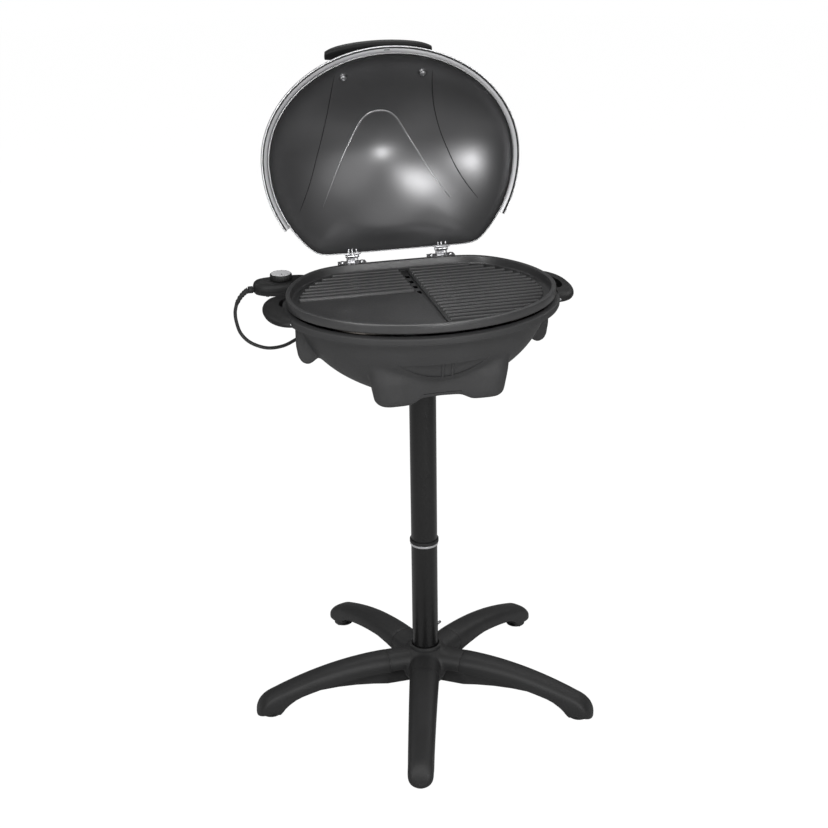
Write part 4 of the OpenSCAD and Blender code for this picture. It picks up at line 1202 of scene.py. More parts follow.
@dataclass
class Bowl:
    """The moulded bowl: shell with a flared band, feet, apron, side fins and hinge blocks.

    Attributes:
        base: Height of the bottom.
        brim: Height at which the shell is widest.
        ledge: Height of the ledge that the drip pan rests on.
        trim: Height at which the soft form ends, inside the band.
        socket: Radius of the hole for the column.
        arc: Height of the recess at its lowest.
        feet: Place of each foot in plan.
        voxel: Face size while the forms are run together.
    """

    base: float = 560
    brim: float = 672
    ledge: float = 640
    trim: float = 674
    socket: float = 25.35
    arc: float = 603.2
    feet: tuple[tuple[float, float], ...] = ((-77, -103), (77, -103), (-77, 84), (77, 84))
    voxel: float = 2.6

    def share(self, z: float) -> float:
        """Share of the plate's outline that the shell has at a height."""
        t = min(max((self.brim - z) / (self.brim - self.base), 0), 1)
        return 0.955 * (1 - 0.22 * t - 0.30 * t ** 3)

    def skin(self, name: str, inset: float, low: float, high: float, steps: int = 18) -> Piece:
        """A solid with the shell's outline between two heights.

        Args:
            name: Name of the piece.
            inset: Share by which it is smaller than the shell.
            low: Height of its underside.
            high: Height of its top.
            steps: Rings between them.

        Returns:
            The solid.
        """
        rings = []
        for i in range(steps + 1):
            z = low + (high - low) * (i / steps) ** 1.25
            rings.append(PLATE.ring(z, 0, self.share(z) - inset))
        return loft(name, rings)

    def foot(self, x: float, front: float, deep: float) -> Piece:
        """One rear foot, from its round sole up into the shell.

        Args:
            x: X of the sole.
            front: Y of the sole.
            deep: Y of the foot's upper end.

        Returns:
            The foot.
        """
        stations = [(559, 13, x, front), (559.8, 17, x, front), (563, 20.5, x, front),
                    (568, 23, x, front), (576, 25, x, front),
                    (602, 29, x * 1.012, blend(front, deep, 0.45)), (634, 33, x * 1.03, deep)]
        return loft("foot", [[(cx + r * c, cy + r * s, z) for c, s in around(32)]
                             for z, r, cx, cy in stations])

    def apron(self, x: float) -> float:
        """Y of the bowed panel's front, at that distance from the middle."""
        return -117 - 8.5 * min(abs(x) / 62, 1) ** 2

    def skirt(self) -> Piece:
        """The two front feet and the bowed panel between them, as one form.

        Returns:
            The form, which overlaps the shell.
        """
        rings = []
        half, bend, middle = 102, 78, -103.5
        for i in range(65):
            x = half * math.sin(math.radians(90 * (i - 32) / 32))
            u = abs(x)
            swell = math.sqrt(max(1 - (max(u - bend, 0) / 24.2) ** 2, 0))
            front = self.apron(u) if u <= bend else middle - 22 * swell
            back = blend(-86, -82, (u - 50) / 10) if u <= bend else middle + 21.5 * swell
            sole = math.sqrt(max(1 - (max(u - 84, 0) / 18.5) ** 2, 0))
            low = blend(569, 559, (u - 26) / 30) + 10 * (1 - sole)
            soft = blend(3, 11, (u - 40) / 22) * (swell if u > bend else 1) + 0.2
            lean = blend(-2, 7, (u - 30) / 40)
            rings.append([(1.03 * x * (1 + 0.0019 * (z - 600)), y, z) for y, z in (
                (front, low + soft), (front + 0.3 * soft, low + 0.3 * soft), (front + soft, low),
                (back - 0.4 * soft, low), (back, low + 0.4 * soft), (back, 622),
                (min(front + lean, back - 0.5), 622), (front + 0.2, 598))])
        return loft("skirt", rings)

    def fin(self, side: float) -> Piece:
        """The thickened wall that runs up to a side handle.

        Args:
            side: -1 for the left one and 1 for the right one.

        Returns:
            The wall.
        """
        line = [(140, 632), (158, 669), (196, 671), (196, 632), (193.5, 614), (189, 606), (183, 602.5),
                (176, 602.5), (169, 607.5), (150, 624)]
        return loft("fin", [[(side * x, y, z) for x, z in line] for y in (-22.5, -4)])

    def rear_block(self, side: float) -> Piece:
        """The block behind the band that carries a hinge.

        Args:
            side: -1 for the left one and 1 for the right one.

        Returns:
            The block.
        """
        stations = ((655, 20, 155), (672, 25, 150), (677, 25, 150), (681, 22, 152), (697, 22, 152.5))
        middle, rear = side * HINGE_OUT, 167.4
        rings = [[(middle - half, front, z), (middle + half, front, z), (middle + half, rear, z),
                  (middle - half, rear, z)] for z, half, front in stations]
        rings[0] = [(x, min(y, 158), z) for x, y, z in rings[0]]
        return rounded(loft("rear_block", rings), 1.6, 3, 30)

    def body(self) -> Piece:
        """The soft outer form, with every foot and fin run into it.

        Returns:
            The form, still solid.
        """
        parts = [self.skin("shell", 0, self.base, self.trim + 2)]
        parts += [self.foot(x, y, 66) for x, y in self.feet if y > 0]
        parts += [self.skirt(), self.fin(-1), self.fin(1)]
        return melted(together("bowl_moulding", parts), self.voxel, passes=14, strength=0.6)

    def cavity(self) -> list[Piece]:
        """Cutters for the inside, the column's hole and the controller's notch.

        Returns:
            The cutters, in the order in which they cut.
        """
        wall, lip = 0.01667, 669
        low = self.skin("room", 0.0227, self.base + 3, self.ledge - 3, 12)
        backing = [(-190, 600), (-121, 600), (-122.4, 608), (-123.6, 616), (-126.4, 625), (-129.6, 632.5),
                   (-190, 632.5)]
        cut(low, loft("backing", [[(x, y, z) for y, z in backing] for x in (-69, 69)]))
        rings = [PLATE.ring(self.ledge - 4, 0, self.share(self.ledge) - 0.045)]
        rings += [PLATE.ring(z, 0, self.share(z) - wall) for z in (self.ledge, 650, 660, lip)]
        rings += [PLATE.ring(690, 0, self.share(lip) - wall)]
        high = loft("room_above", rings)
        hole = turned("hole", [(self.socket, 540), (self.socket, 600)], loop=False)
        notch = block("notch", (-240, 100, 666.5), (-162, 144, 700))
        trim = block("trim", (-300, -300, self.trim), (300, 300, 760))
        return [low, high, hole, notch, trim]

    def recess(self) -> Piece:
        """The upright cut into the front, which leaves a crescent with two faint ribs.

        Returns:
            The cutter.
        """
        rings = []
        ahead, steps = -180, 32
        for i in range(steps + 1):
            x = 4.25 * (i - steps / 2)
            low = self.arc + 0.00576 * x * x
            face = -123.5 - 0.2 * (low - self.arc) - 0.00055 * x * x
            rings.append([(x, ahead, low - 0.6), (x, face, low + 0.5), (x, -130.4, max(627, low + 1.2)),
                          (x, -132.3, max(629.2, low + 1.8)), (x, ahead, max(629.8, low + 2.2))])
        ribs = [rod("rib", [(x, -122.2, 600), (x, -131.3, 632)], [2.3, 2.3], 16) for x in (-0.5, 14)]
        return cut(loft("recess", rings), *ribs)

    def groove(self) -> Piece:
        """The fine dark line near the apron's lower edge.

        Returns:
            The cutter.
        """
        rings = []
        for i in range(11):
            x = -28 + 5.8 * i
            y = self.apron(x)
            rings.append([(x, y - 6, 575.2), (x, y + 2, 575.4), (x, y + 2, 576.4), (x, y - 6, 576.6)])
        return loft("groove", rings)

    def rim(self) -> Piece:
        """The crisp flared band with its rolled edges.

        Returns:
            The band, closed all round.
        """
        outer = [(4.2, 669.6), (4.8, 669.8), (5, 670.4), (5.2, 671.2), (5.8, 671.7), (BAND_OUT, 672.4),
                 (BAND_OUT, 678.4), (5.8, 679.4), (5, 680.4), (4, 680.8)]
        inner = [(-6, 680.8), (-6.4, 680.4), (-7.4, 676), (-12, 672.6)]
        rings = [PLATE.ring(z, grow, 1, 240) for grow, z in outer + inner]
        share = self.share(670)
        rings += [PLATE.ring(671.6, 0, share - 0.012, 240), PLATE.ring(669.6, 0, share - 0.002, 240)]
        return loft("bowl_band", rings, loop=True)

    def build(self) -> None:
        """Makes the bowl from its soft form, its cutters and its crisp band."""
        body = cut(self.body(), *self.cavity(), self.recess(), self.groove())
        dress(body, BOWL_PLASTIC, "head", "black_plastic", "bowl", smooth=42)
        dress(self.rim(), BOWL_PLASTIC, "head", "black_plastic", "bowl", smooth=30)
        for side in (-1, 1):
            dress(self.rear_block(side), BOWL_PLASTIC, "head", "black_plastic", "bowl")
        pads = [turned("pad", [(7.6, 558), (8, 558.4), (8, 562), (3, 562), (3, 558)], (x, y, 0), 40)
                for x, y in self.feet]
        dress(together("head_pads", pads), RUBBER, "head", "rubber", "tabletop_pads")
        carry_over("column_socket", MOULDED, 0.6)
        carry_over("socket_screws", STEEL, 0.3)


@dataclass
class SideHandles:
    """Two flat D-shaped handles with a crescent between grip and bowl.

    Attributes:
        low: Height of the underside.
        high: Height of the top.
        outlines: Centre, half width and half length of each side's grip.
        crescents: Start, end and width of each side's gap.
        rows: Y of the screws.
        screw_z: Height of the screws.
    """

    low: float = 670
    high: float = 683.4
    outlines: dict[int, tuple[float, float, float, float]] = field(default_factory=lambda: {
        -1: (199, 21, 38.5, 64), 1: (203, 27, 41, 68)})
    crescents: dict[int, tuple[float, float, float]] = field(default_factory=lambda: {
        -1: (22, 56, 5), 1: (-8, 84, 19)})
    rows: tuple[float, float] = (-40, 60)
    screw_z: float = 675

    def outline(self, side: int, grow: float) -> Plan:
        """The grip's lens-shaped outline in plan, drawn for the right side."""
        x, y, half, deep = self.outlines[side]
        return [(x + max(p, -14), y + q) for p, q in lens(half + grow, deep + grow, 2.2, 96)]

    def crescent(self, side: int) -> Plan:
        """The outline of the gap between bowl and grip.

        Args:
            side: -1 for the left one and 1 for the right one.

        Returns:
            The outline in plan, drawn for the right side.
        """
        start, end, width = self.crescents[side]
        inner, outer = [], []
        for i in range(33):
            y, q = start + (end - start) * i / 32, i / 16 - 1
            edge = PLATE.edge_x(y, BAND_OUT)
            inner.append((edge - 2, y))
            outer.append((edge + width * max(1 - q * q, 0.0005) ** 0.4, y))
        return inner + outer[::-1]

    def handle(self, side: int) -> Piece:
        """One handle, cut to the bowl and hollowed for the fingers.

        Args:
            side: -1 for the left one and 1 for the right one.

        Returns:
            The handle.
        """
        section = ((-3, 0), (-0.9, 0.7), (0, 2.4), (0, 5), (-1.1, 7.6), (-3.6, 9.9), (-7, 11.4),
                   (-12, 12.4), (-18, 12.7))
        grip = loft("grip", [[(x, y, self.low + up) for x, y in self.outline(side, grow)]
                             for grow, up in section])
        cut(grip, slab("bowl_cut", PLATE.plan(4.6), self.low - 5, self.high + 5),
            slab("finger_gap", self.crescent(side), self.low + 1.8, self.high + 5))
        if side < 0:
            grip.data.transform(Matrix.Scale(-1, 4, (1, 0, 0)))
            clean(grip)
        return grip

    def screws(self) -> Piece:
        """The screws that hold the grips, two on each side.

        Returns:
            The four screws as one piece.
        """
        out = []
        for side in (-1, 1):
            for y in self.rows:
                x = side * (PLATE.edge_x(y, BAND_OUT) - 15)
                way = [(x + side * run, y, self.screw_z) for run in (-1.4, -0.6, 1.4, 1.5, 17)]
                out.append(rod("screw", way, [2.6, 4, 4, 2, 2], 20))
        return together("grip_screws", out)

    def build(self) -> None:
        """Makes both handles and their screws."""
        for side, node in ((-1, "handle_left"), (1, "handle_right")):
            grip = self.handle(side)
            grip.name = f"{node}_grip"
            dress(grip, HANDLE_PLASTIC, "head", "black_plastic", node)
        dress(self.screws(), STEEL, "head", "steel", "handle_screws")


# ---------------------------------------------------------------- grill plate and what is under it


@dataclass
class GrillPlate:
    """The cast plate: a raised rim, ribs on the right and at the rear left, and a smooth field.

    Attributes:
        top: Height of the ribs' tops.
        floor: Height of the smooth field between the ribs.
        rib: Width of a rib.
        pitch: Spacing of the ribs.
        first: Y of the rearmost rib.
        inset: How far the ribs end inside the rim.
        start: X at which the ribs on the right start.
        stop: X at which the ribs at the rear left end.
        long_bars: Number of the ribs on the right.
        short_bars: Number of the ribs at the rear left.
        drains: Number of the drain slots.
    """

    top: float = 690.5
    floor: float = 686
    rib: float = 6
    pitch: float = 14.4
    first: float = 128
    inset: float = 19
    start: float = 12.5
    stop: float = -4
    long_bars: int = 18
    short_bars: int = 8
    drains: int = 4

    def body(self) -> Piece:
        """The plate with its rolled rim.

        Returns:
            The plate without its ribs.
        """
        profile = [(-12, 682), (-12, 684.6), (-11.6, 685), (-6, 685.6), (-1.5, 686.8), (-0.3, 687.2),
                   (0, 687.9), (0, 698.6), (-0.4, 699.6), (-1.4, 700), (-5.6, 700), (-6.6, 699.6),
                   (-7, 698.8), (-7.2, 690), (-7.9, 687.6), (-9.6, 686.3), (-12, self.floor)]
        return loft("plate_body", [PLATE.ring(z, grow, 1, 240) for grow, z in profile])

    def half(self, y: float) -> float:
        """Half the width that ribs may fill at that Y."""
        return PLATE.edge_x(y, -self.inset)

    def bar(self, y: float, start: float, end: float) -> Piece:
        """One rib with round ends and a rounded top.

        Args:
            y: Y of the rib.
            start: X of its left end.
            end: X of its right end.

        Returns:
            The rib.
        """
        r = self.rib / 2
        section = [(r, 685.2), (r, 688.2), (r - 0.35, 689.6), (r - 1.2, 690.3), (r - 2.1, self.top)]
        return loft("rib", [[((end - r if c >= 0 else start + r) + grow * c, y + grow * s, z)
                             for c, s in around(24)] for grow, z in section])

    def bars(self) -> list[Piece]:
        """Every rib: long ones on the right, short ones at the rear left.

        Returns:
            The ribs.
        """
        rows = [self.first - self.pitch * i for i in range(self.long_bars)]
        long_ones = [self.bar(y, self.start, self.half(y)) for y in rows]
        return long_ones + [self.bar(y, -self.half(y), self.stop) for y in rows[:self.short_bars]]

    def slots(self) -> list[Piece]:
        """Cutters of the drain slots in the channel.

        Returns:
            The cutters.
        """
        out = []
        x, radius, straight = 4.5, 3.5, 4
        for i in range(self.drains):
            y = 107 - 26 * i
            ring = [(x + radius * c, y + (straight if s >= 0 else -straight) + radius * s)
                    for c, s in around(20)]
            out.append(slab("slot", ring, 670, 695))
        return out

    def channel(self) -> Piece:
        """Cutter of the drain channel along the left ends of the long ribs.

        Returns:
            The cutter.
        """
        wide = [(-1.5, 134), (-1.5, 22), (2, 14), (3.2, -110), (5, -124), (8.4, -126), (10.2, -120),
                (10.4, 130), (8, 136)]
        return slab("channel", wide, 683.2, 695)

    def build(self) -> None:
        """Makes the plate and carries over what is under it."""
        body = cut(self.body(), *self.slots(), self.channel())
        plate = together("grill_plate_casting", [body] + self.bars())
        dress(plate, CAST, "plate", "cast_plate", "grill_plate", smooth=38)
        for node, finish, edge in (("heating_element", SHEATH, 0), ("element_clips", STEEL, 0.2),
                                   ("terminal_block", CERAMIC, 0.6), ("terminal_pins", CONTACT, 0.3),
                                   ("drip_pan", PAN_METAL, 0)):
            carry_over(node, finish, edge)


# ---------------------------------------------------------------- lid


@dataclass
class Lid:
    """The domed lid, standing open behind the plate.

    Attributes:
        edge: Height of its edge while closed.
        sill: Height of the upright part under the dome.
        rise: Height of the dome.
        sheet: Wall of the shell.
        columns: Points round the shell.
        bolt_x: Distance of the handle's bolts from the middle.
        bar_half: Half length of the handle's bar.
        band_run: Directions, in degrees, between which the silver band runs.
    """

    edge: float = 700.5
    sill: float = 8
    rise: float = 95
    sheet: float = 1.6
    columns: int = 220
    bolt_x: float = 64
    bar_half: float = 86
    band_run: tuple[float, float] = (150, 390)

    def opened(self, point: Point) -> Point:
        """Where a point of the closed lid is while the lid stands open.

        Args:
            point: A point of the closed lid.

        Returns:
            Its place while the lid is open.
        """
        x, y, z = point
        c, s = math.cos(math.radians(LID_OPEN)), math.sin(math.radians(LID_OPEN))
        dy, dz = y - HINGE[0], z - HINGE[1]
        return (x, HINGE[0] + dy * c + dz * s, HINGE[1] - dy * s + dz * c)

    def dome(self, share: float) -> float:
        """Height of the shell above its edge, by share of the way outwards."""
        s = min(share, 1)
        return self.sill + self.rise * max(1 - s * s * (1.03 / (s * s + 0.03)) ** 0.2, 0) ** 0.65

    def reach(self, turn: float, share: float, grow: float = 0) -> float:
        """Distance from the middle in that direction, from the crown's ellipse to the edge's plan."""
        return share * blend(CROWN.radius(turn, grow), LID.radius(turn, grow), (share - 0.6) / 0.4)

    def round_at(self, share: float, z: float, grow: float = 0) -> Ring:
        """One ring of the shell.

        Args:
            share: Share of the way from the middle to the edge.
            z: Height of the ring.
            grow: Offset of the plan in millimetres.

        Returns:
            The ring.
        """
        out = []
        for i in range(self.columns):
            turn = TURN * i / self.columns
            r = self.reach(turn, share, grow)
            out.append((r * math.cos(turn), LID.middle + r * math.sin(turn), z))
        return out

    def share_at(self, x: float, y: float, grow: float = 0) -> float:
        """How far outwards that point of the plan lies.

        Args:
            x: X of the point.
            y: Y of the point.
            grow: Offset of the plan in millimetres.

        Returns:
            The share of the way from the middle to the edge.
        """
        dy = y - LID.middle
        turn, far, low, high = math.atan2(dy, x) % TURN, math.hypot(x, dy), 0.0, 1.0
        for _ in range(24):
            mid = (low + high) / 2
            low, high = (mid, high) if self.reach(turn, mid, grow) < far else (low, mid)
        return low

    def on_inside(self, x: float, y: float, off: float) -> Point:
        """A point of the inner face while the lid is closed, that far under it."""
        return (x, y, self.edge + self.dome(self.share_at(x, y, -self.sheet)) - self.sheet - off)

    def shell(self) -> Piece:
        """The sheet shell with its straight edge.

        Returns:
            The shell, with the lid open.
        """
        steps = 34
        shares = [math.sin(math.radians(90 * i / steps)) for i in range(steps + 1)]
        skin = [self.round_at(s, self.edge + self.dome(s)) for s in shares]
        skin += [self.round_at(1, self.edge), self.round_at(1, self.edge, -self.sheet)]
        skin += [self.round_at(s, self.edge + self.dome(s) - self.sheet, -self.sheet) for s in shares[::-1]]
        return loft("lid_shell_sheet", [[self.opened(p) for p in ring] for ring in skin], End.OPEN)

    def rim_profile(self, name: str, section: Plan, start: float, end: float,
                    steps: int = 200) -> Piece:
        """A strip that follows the lid's edge between two directions.

        Args:
            name: Name of the strip.
            section: Section of the strip: outwards and upwards from the edge.
            start: First direction in degrees.
            end: Last direction in degrees.
            steps: Rings along the strip.

        Returns:
            The strip.
        """
        rings = []
        for i in range(steps + 1):
            a = math.radians(start + (end - start) * i / steps)
            ring = []
            for grow, up in section:
                r = LID.radius(a % TURN, grow)
                ring.append(self.opened((r * math.cos(a), LID.middle + r * math.sin(a), self.edge + up)))
            rings.append(ring)
        return loft(name, rings)

    def pressed_line(self, name: str, line: Plan, half: float,
                     proud: float) -> Piece:
        """A fine raised line on the inner face, which fades out at its ends.

        Args:
            name: Name of the line.
            line: Its route in plan.
            half: Half its width in millimetres.
            proud: How far it stands out of the face.

        Returns:
            The line.
        """
        path = spline([(x, y, 0) for x, y in line], 6)
        rings = []
        for i, (x, y, _) in enumerate(path):
            ahead = Vector(path[min(i + 1, len(path) - 1)]) - Vector(path[max(i - 1, 0)])
            across = Vector((-ahead.y, ahead.x, 0)).normalized()
            fade = min(1, 0.1 + 9 * min(i, len(path) - 1 - i) / len(path))
            ring = []
            for k, h in ((-1, -0.4), (-0.6, proud * 0.7), (0, proud), (0.6, proud * 0.7), (1, -0.4)):
                px, py = x + across.x * half * k * fade, y + across.y * half * k * fade
                ring.append(self.opened(self.on_inside(px, py, h)))
            rings.append(ring)
        return loft(name, rings)

    def bolt_at(self, x: float, run: float, radius: float, steps: int) -> Ring:
        """A ring about a handle bolt's axis, that far outwards from the shell.

        Args:
            x: X of the bolt.
            run: Distance along the axis from the shell.
            radius: Radius of the ring.
            steps: Points round the ring.

        Returns:
            The ring.
        """
        lean, share = math.radians(44), 0.8577
        start = Vector((x, -120, self.edge + self.sill + self.rise * (1 - share ** 1.6) ** 0.65))
        way, right = Vector((0, -math.sin(lean), math.cos(lean))), Vector((1, 0, 0))
        across = way.cross(right)
        return [self.opened(tuple(start + way * run + radius * (right * c + across * s)))
                for c, s in around(steps)]

    def bolted(self, name: str, profile: Plan, steps: int = 28) -> list[Piece]:
        """The same form about both handle bolts, from pairs of run and radius."""
        return [loft(name, [self.bolt_at(x, run, radius, steps) for run, radius in profile])
                for x in (-self.bolt_x, self.bolt_x)]

    def bosses(self) -> Piece:
        """The low cones that the bolt heads stand on inside the lid."""
        profile = [(-1.2, 7.6), (-3, 6.6), (-4.1, 5.8), (-4.1, 3)]
        return together("bolt_bosses", self.bolted("bolt_boss", profile))

    def heads(self) -> Piece:
        """The pan heads of the two handle bolts, each with a round recess.

        Returns:
            Both heads as one piece.
        """
        profile = [(-4.1, 4.9), (-4.7, 5.2), (-5.6, 5), (-6.4, 4.2), (-6.9, 2.9), (-7, 1.9), (-6.2, 1.7),
                   (-6.2, 0.3)]
        return together("bolt_heads", self.bolted("bolt_head", profile))

    def handle(self) -> Piece:
        """The bowed bar outside the lid, thinner towards its ends.

        Returns:
            The bar.
        """
        rings = []
        steps, z = 48, 766.5
        for i in range(steps + 1):
            p = -1 + 2 * i / steps
            thick = 1 - 0.4 * abs(p) ** 8
            x, y = p * self.bar_half, -152 - 9 * (1 - p * p)
            rings.append([self.opened((x, y + 0.8 * a - 0.6 * b, z + 0.6 * a + 0.8 * b))
                          for a, b in lens(11 * thick, 7 * thick, 3, 32)])
        return loft("lid_handle_bar", rings)

    def posts(self) -> list[Piece]:
        """The two posts between shell and bar."""
        profile = [(1.8, 9), (2.2, 9.4), (3.2, 9.4), (24, 8.4), (32.8, 8.4)]
        return self.bolted("lid_handle_post", profile, 32)

    def slot(self) -> Piece:
        """The small slot at the middle of the band's front, not cut but shown by a dark lens of painted
        shade.

        Returns:
            The dark lens.
        """
        y, z = LID.middle - LID.front, self.edge + 4.7
        return loft("band_slot_shade", [[self.opened((x, y - out, z + up)) for x, up in lens(5.2, 1.4, 4, 28)]
                                  for out in (3.4, 4.75)])

    def lines(self) -> None:
        """Makes the two creases and the arch on the inner face: the creases coloured in painted shade, the
        arch in a painted highlight.
        """
        crease = [(78.5, -122), (83, -87), (88.5, -57), (98, -22), (110, 12), (119.5, 37), (131.5, 61),
                  (146.5, 86)]
        arch = [(0, -61), (10, -60), (19, -56.2), (27, -49.6), (33.5, -41), (39.5, -31), (46, -19.5),
                (60, 5), (76, 34), (92, 62), (105, 83.5)]
        creases = [self.pressed_line("crease", [(side * x, y) for x, y in crease], 1.1, 0.5)
                   for side in (-1, 1)]
        pair = together("lid_creases", creases)
        # The creases are dressed in painted shade.
        dress(pair, CREASE_SHADE, "lid", "lid_enamel", "lid_shell", smooth=60)
        whole = self.pressed_line("lid_arch", [(-x, y) for x, y in arch[:0:-1]] + arch, 1.9, 0.9)
        # The arch is dressed in a painted highlight.
        dress(whole, RIDGE_HIGHLIGHT, "lid", "lid_enamel", "lid_shell", smooth=60)

    def trim(self) -> None:
        """Makes the silver band with its lip, its dark line and the painted shade of its slot."""
        band = [(0.3, 5), (0.3, 7), (0.7, 7.25), (1.2, 7.1), (6.2, 3.9), (6.5, 3.4), (6.2, 3.0), (1.0, 4.6)]
        lip = [(8.5, 0.2), (8.5, 8.6), (8.8, 9), (9.7, 9), (10, 8.6), (10, 0.4), (9.7, 0), (8.8, 0)]
        line = [(6.0, 2.6), (8.8, 2.2), (8.8, 4.2), (6.2, 4.2)]
        for name, section, finish, short in (("lid_band", band, SILVER, 0), ("lid_lip", lip, SILVER, 0),
                                             ("lid_line", line, SEAL, 0.4)):
            strip = self.rim_profile(name, section, self.band_run[0] + short, self.band_run[1] - short)
            dress(strip, finish, "lid", "silver_band", "lid_trim")
        # Painted shade: a dark lens stands in for the shade inside the band's slot.
        dress(self.slot(), SEAL, "lid", "silver_band", "lid_trim")

    def build(self) -> None:
        """Makes shell, lines, bolts, band, seal and handle."""
        dress(self.shell(), LID_PAINT, "lid", "lid_enamel", "lid_shell", smooth=50)
        self.lines()
        dress(self.bosses(), LID_PAINT, "lid", "lid_enamel", "lid_shell")
        dress(self.heads(), CHROME, "lid", "steel", "lid_handle_bolts")
        self.trim()
        carry_over("lid_seal", SEAL)
        bar = together("lid_handle_grip", [self.handle()] + self.posts())
        dress(bar, HANDLE_PLASTIC, "lid", "black_plastic", "lid_handle", smooth=50)


@dataclass
class Hinges:
    """The bright hinges behind the plate: bases on the bowl and leaves on the lid.

    Attributes:
        pieces: CAD nodes that are carried over.
    """

    pieces: tuple[str, ...] = ("hinge_base_left", "hinge_base_right", "hinge_pin_left",
                               "hinge_pin_right", "hinge_screws")

    def leaf(self, side: float) -> Piece:
        """The lid's half of a hinge: barrel, plate, stop tail and three round-topped prongs.

        Args:
            side: -1 for the left one and 1 for the right one.

        Returns:
            The leaf, with the lid open.
        """
        barrel = [[(x, r * c, r * s) for c, s in around(32)]
                  for x, r in ((-7.2, 3.3), (7.2, 3.3), (7.2, 1.55), (-7.2, 1.55))]
        parts = [loft("barrel", barrel, loop=True),
                 rounded(block("plate", (-12.5, -4.8, -8), (12.5, -3.3, 3)), 0.4, 2),
                 rounded(block("shoulder", (-7, -4.6, -3), (7, -2.5, 3)), 0.3, 2),
                 rounded(block("tail", (-5.5, -4.7, 0), (5.5, -3.4, 9.5)), 0.3, 2)]
        for x in (-6.1, -0.7, 6.1):
            parts.append(rod("prong", [(x, y, -4) for y in (-3, -4.5, -8, -10.6, -11.8, -12.2)],
                             [1.1, 1.3, 1.45, 1.3, 0.8, 0.2], 14, (0, 0, 1)))
        leaf = together("hinge_leaf", parts)
        lid = Lid()
        for vertex in leaf.data.vertices:
            x, y, z = vertex.co / MM
            vertex.co = Vector(lid.opened((x + side * HINGE_OUT, y + HINGE[0], z + HINGE[1]))) * MM
        return clean(leaf)

    def build(self) -> None:
        """Makes both leaves and gives the other hinge pieces their plating."""
        for side, node in ((-1, "hinge_leaf_left"), (1, "hinge_leaf_right")):
            leaf = self.leaf(side)
            leaf.name = f"{node}_plate"
            dress(leaf, CHROME, "lid", "chrome", node)
        for node in self.pieces:
            carry_over(node, CHROME, 0.35)


# ---------------------------------------------------------------- thermostat controller


@dataclass
class Controller:
    """The plug-in thermostat at the left rear.

    Attributes:
        centre: Middle of the housing in plan.
        seam: Height of the joint between base and cover.
        low: Height of the underside.
        high: Height of the top.
    """

    centre: tuple[float, float] = (-191, 122)
    seam: float = 680
    low: float = 668
    high: float = 693

    def outline(self, grow: float) -> Plan:
        """Plan of the housing.

        Args:
            grow: Offset of the outline in millimetres.

        Returns:
            The outline.
        """
        blunt, soft, pointed = (lens(46 + grow, 25 + grow, power, 72) for power in (3.4, 2.9, 2.0))
        line = (a if a[0] > 0 else b if b[1] > 0 else c for a, b, c in zip(blunt, soft, pointed))
        return [(self.centre[0] + p, self.centre[1] + q) for p, q in line]

    def shell(self, name: str, stations: Plan) -> Piece:
        """One half of the housing, cut free of the plate.

        Args:
            name: Name of the half.
            stations: Height and offset of each ring.

        Returns:
            The half.
        """
        half = loft(name, [[(x, y, z) for x, y in self.outline(grow)] for z, grow in stations])
        return cut(half, slab("plate_gap", PLATE.plan(2.5), self.low - 5, self.high + 5))

    def build(self) -> None:
        """Makes both halves and carries over the fittings."""
        base = self.shell("controller_tray", [(671, -9), (671.5, -6), (672.7, -3), (675, -1), (679.6, 0),
                                              (self.seam, -0.4)])
        nose = rounded(block("nose", (-171, 104, self.low), (-126, 140, 681.6)), 2, 3, 40)
        base = together("controller_tray", [base, nose])
        dress(base, HANDLE_PLASTIC, "controller", "black_plastic", "controller_base", smooth=40)
        cover = self.shell("controller_lid", [(self.seam, -0.4), (680.4, 0), (685, -0.4), (689, -1.8),
                                              (691.4, -4.4), (692.6, -8.5), (self.high, -13)])
        dress(cover, HANDLE_PLASTIC, "controller", "black_plastic", "controller_cover", smooth=40)
        screws = [turned("screw", [(2.6, 671.2), (2.8, 671.4), (2.8, 676), (1, 676), (1, 671.2)],
                         (self.centre[0] - 26, self.centre[1] + q, 0), 24) for q in (-14, 14)]
        dress(together("tray_screws", screws), STEEL, "controller", "steel", "controller_screws")
        for node, finish, edge in (("contact_sleeves", CERAMIC, 0.3), ("thermostat_probe", STEEL, 0.4),
                                   ("thermostat_switch", SWITCH, 0.5), ("cord_gland", HANDLE_PLASTIC, 0.5)):
            carry_over(node, finish, edge)


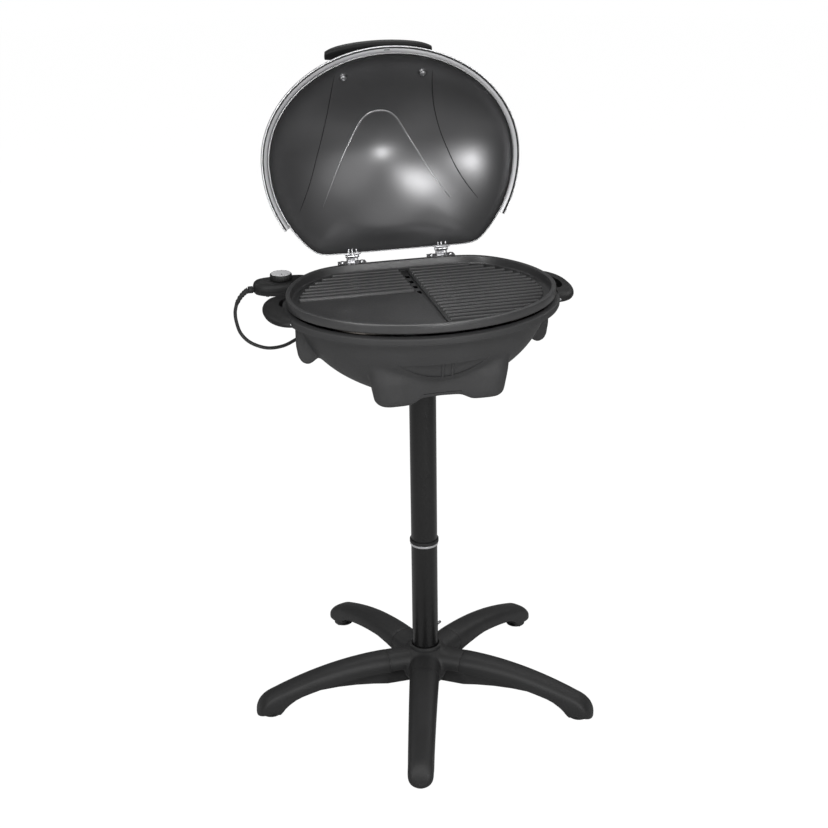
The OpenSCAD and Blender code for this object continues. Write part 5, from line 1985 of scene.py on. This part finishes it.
@dataclass
class Knob:
    """The thermostat's knob with a fluted grip and a bright disc.

    Attributes:
        centre: Axis of the knob.
        low: Height of its underside.
        high: Height of its top.
        radius: Radius of the grip.
        face: Radius of the disc.
        flutes: Number of the grip's flutes.
        strokes: Number of the short strokes on the disc.
    """

    centre: tuple[float, float] = (-193, 122)
    low: float = 693.3
    high: float = 702.3
    radius: float = 17.2
    face: float = 15.4
    flutes: int = 24
    strokes: int = 10

    def grip(self) -> Piece:
        """The fluted ring.

        Returns:
            The grip.
        """
        stations = [(self.low, -1.4), (self.low + 0.8, -0.2), (self.low + 3, 0), (self.high - 1.6, -0.2),
                    (self.high - 0.5, -0.8), (self.high, -1.6)]
        rings = []
        steps = 144
        for z, grow in stations:
            ring = []
            for i in range(steps):
                a = TURN * i / steps
                flute = 0.45 * max(0, math.cos(self.flutes * a)) if grow > -1 else 0
                r = self.radius + grow - flute
                ring.append((self.centre[0] + r * math.cos(a), self.centre[1] + r * math.sin(a), z))
            rings.append(ring)
        return loft("knob_grip", rings)

    def disc(self) -> Piece:
        """The disc on top, slightly domed."""
        profile = [(self.face, 701.6), (self.face, 702.5), (15, 702.8), (8, 702.95), (0.02, 703)]
        return turned("knob_disc", profile, (*self.centre, 0), 96, False)

    def marks(self) -> Piece:
        """Fine strokes round the disc, one of them longer.

        Returns:
            The strokes as one piece.
        """
        master = block("mark", (12.4, -0.35, 702.7), (14.4, 0.35, 703.05))
        strokes = spread(master, "mark", [30 * i + 45 for i in range(self.strokes)])
        strokes.append(block("pointer", (-0.6, -12.6, 702.8), (0.6, -5, 703.1)))
        marks = together("knob_marks", strokes)
        marks.data.transform(Matrix.Translation((self.centre[0] * MM, self.centre[1] * MM, 0)))
        return marks

    def build(self) -> None:
        """Makes grip, disc and marks."""
        dress(self.grip(), HANDLE_PLASTIC, "knob", "black_plastic", "control_knob")
        dress(self.disc(), DIAL, "knob", "silver_band", "knob_cap")
        dress(self.marks(), MARK, "knob", "silver_band", "knob_cap")


def main() -> None:
    """Builds camera, light, cords and every sub-assembly in turn."""
    logging.basicConfig(level=logging.INFO, format="%(message)s")
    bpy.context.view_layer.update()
    for part in (Studio(), PowerCord(), FootStar(), Column(), Bowl(), SideHandles(), GrillPlate(), Lid(),
                 Hinges(), Controller(), Knob()):
        LOG.info("building %s", type(part).__name__)
        part.build()


if __name__ == "__main__":
    main()
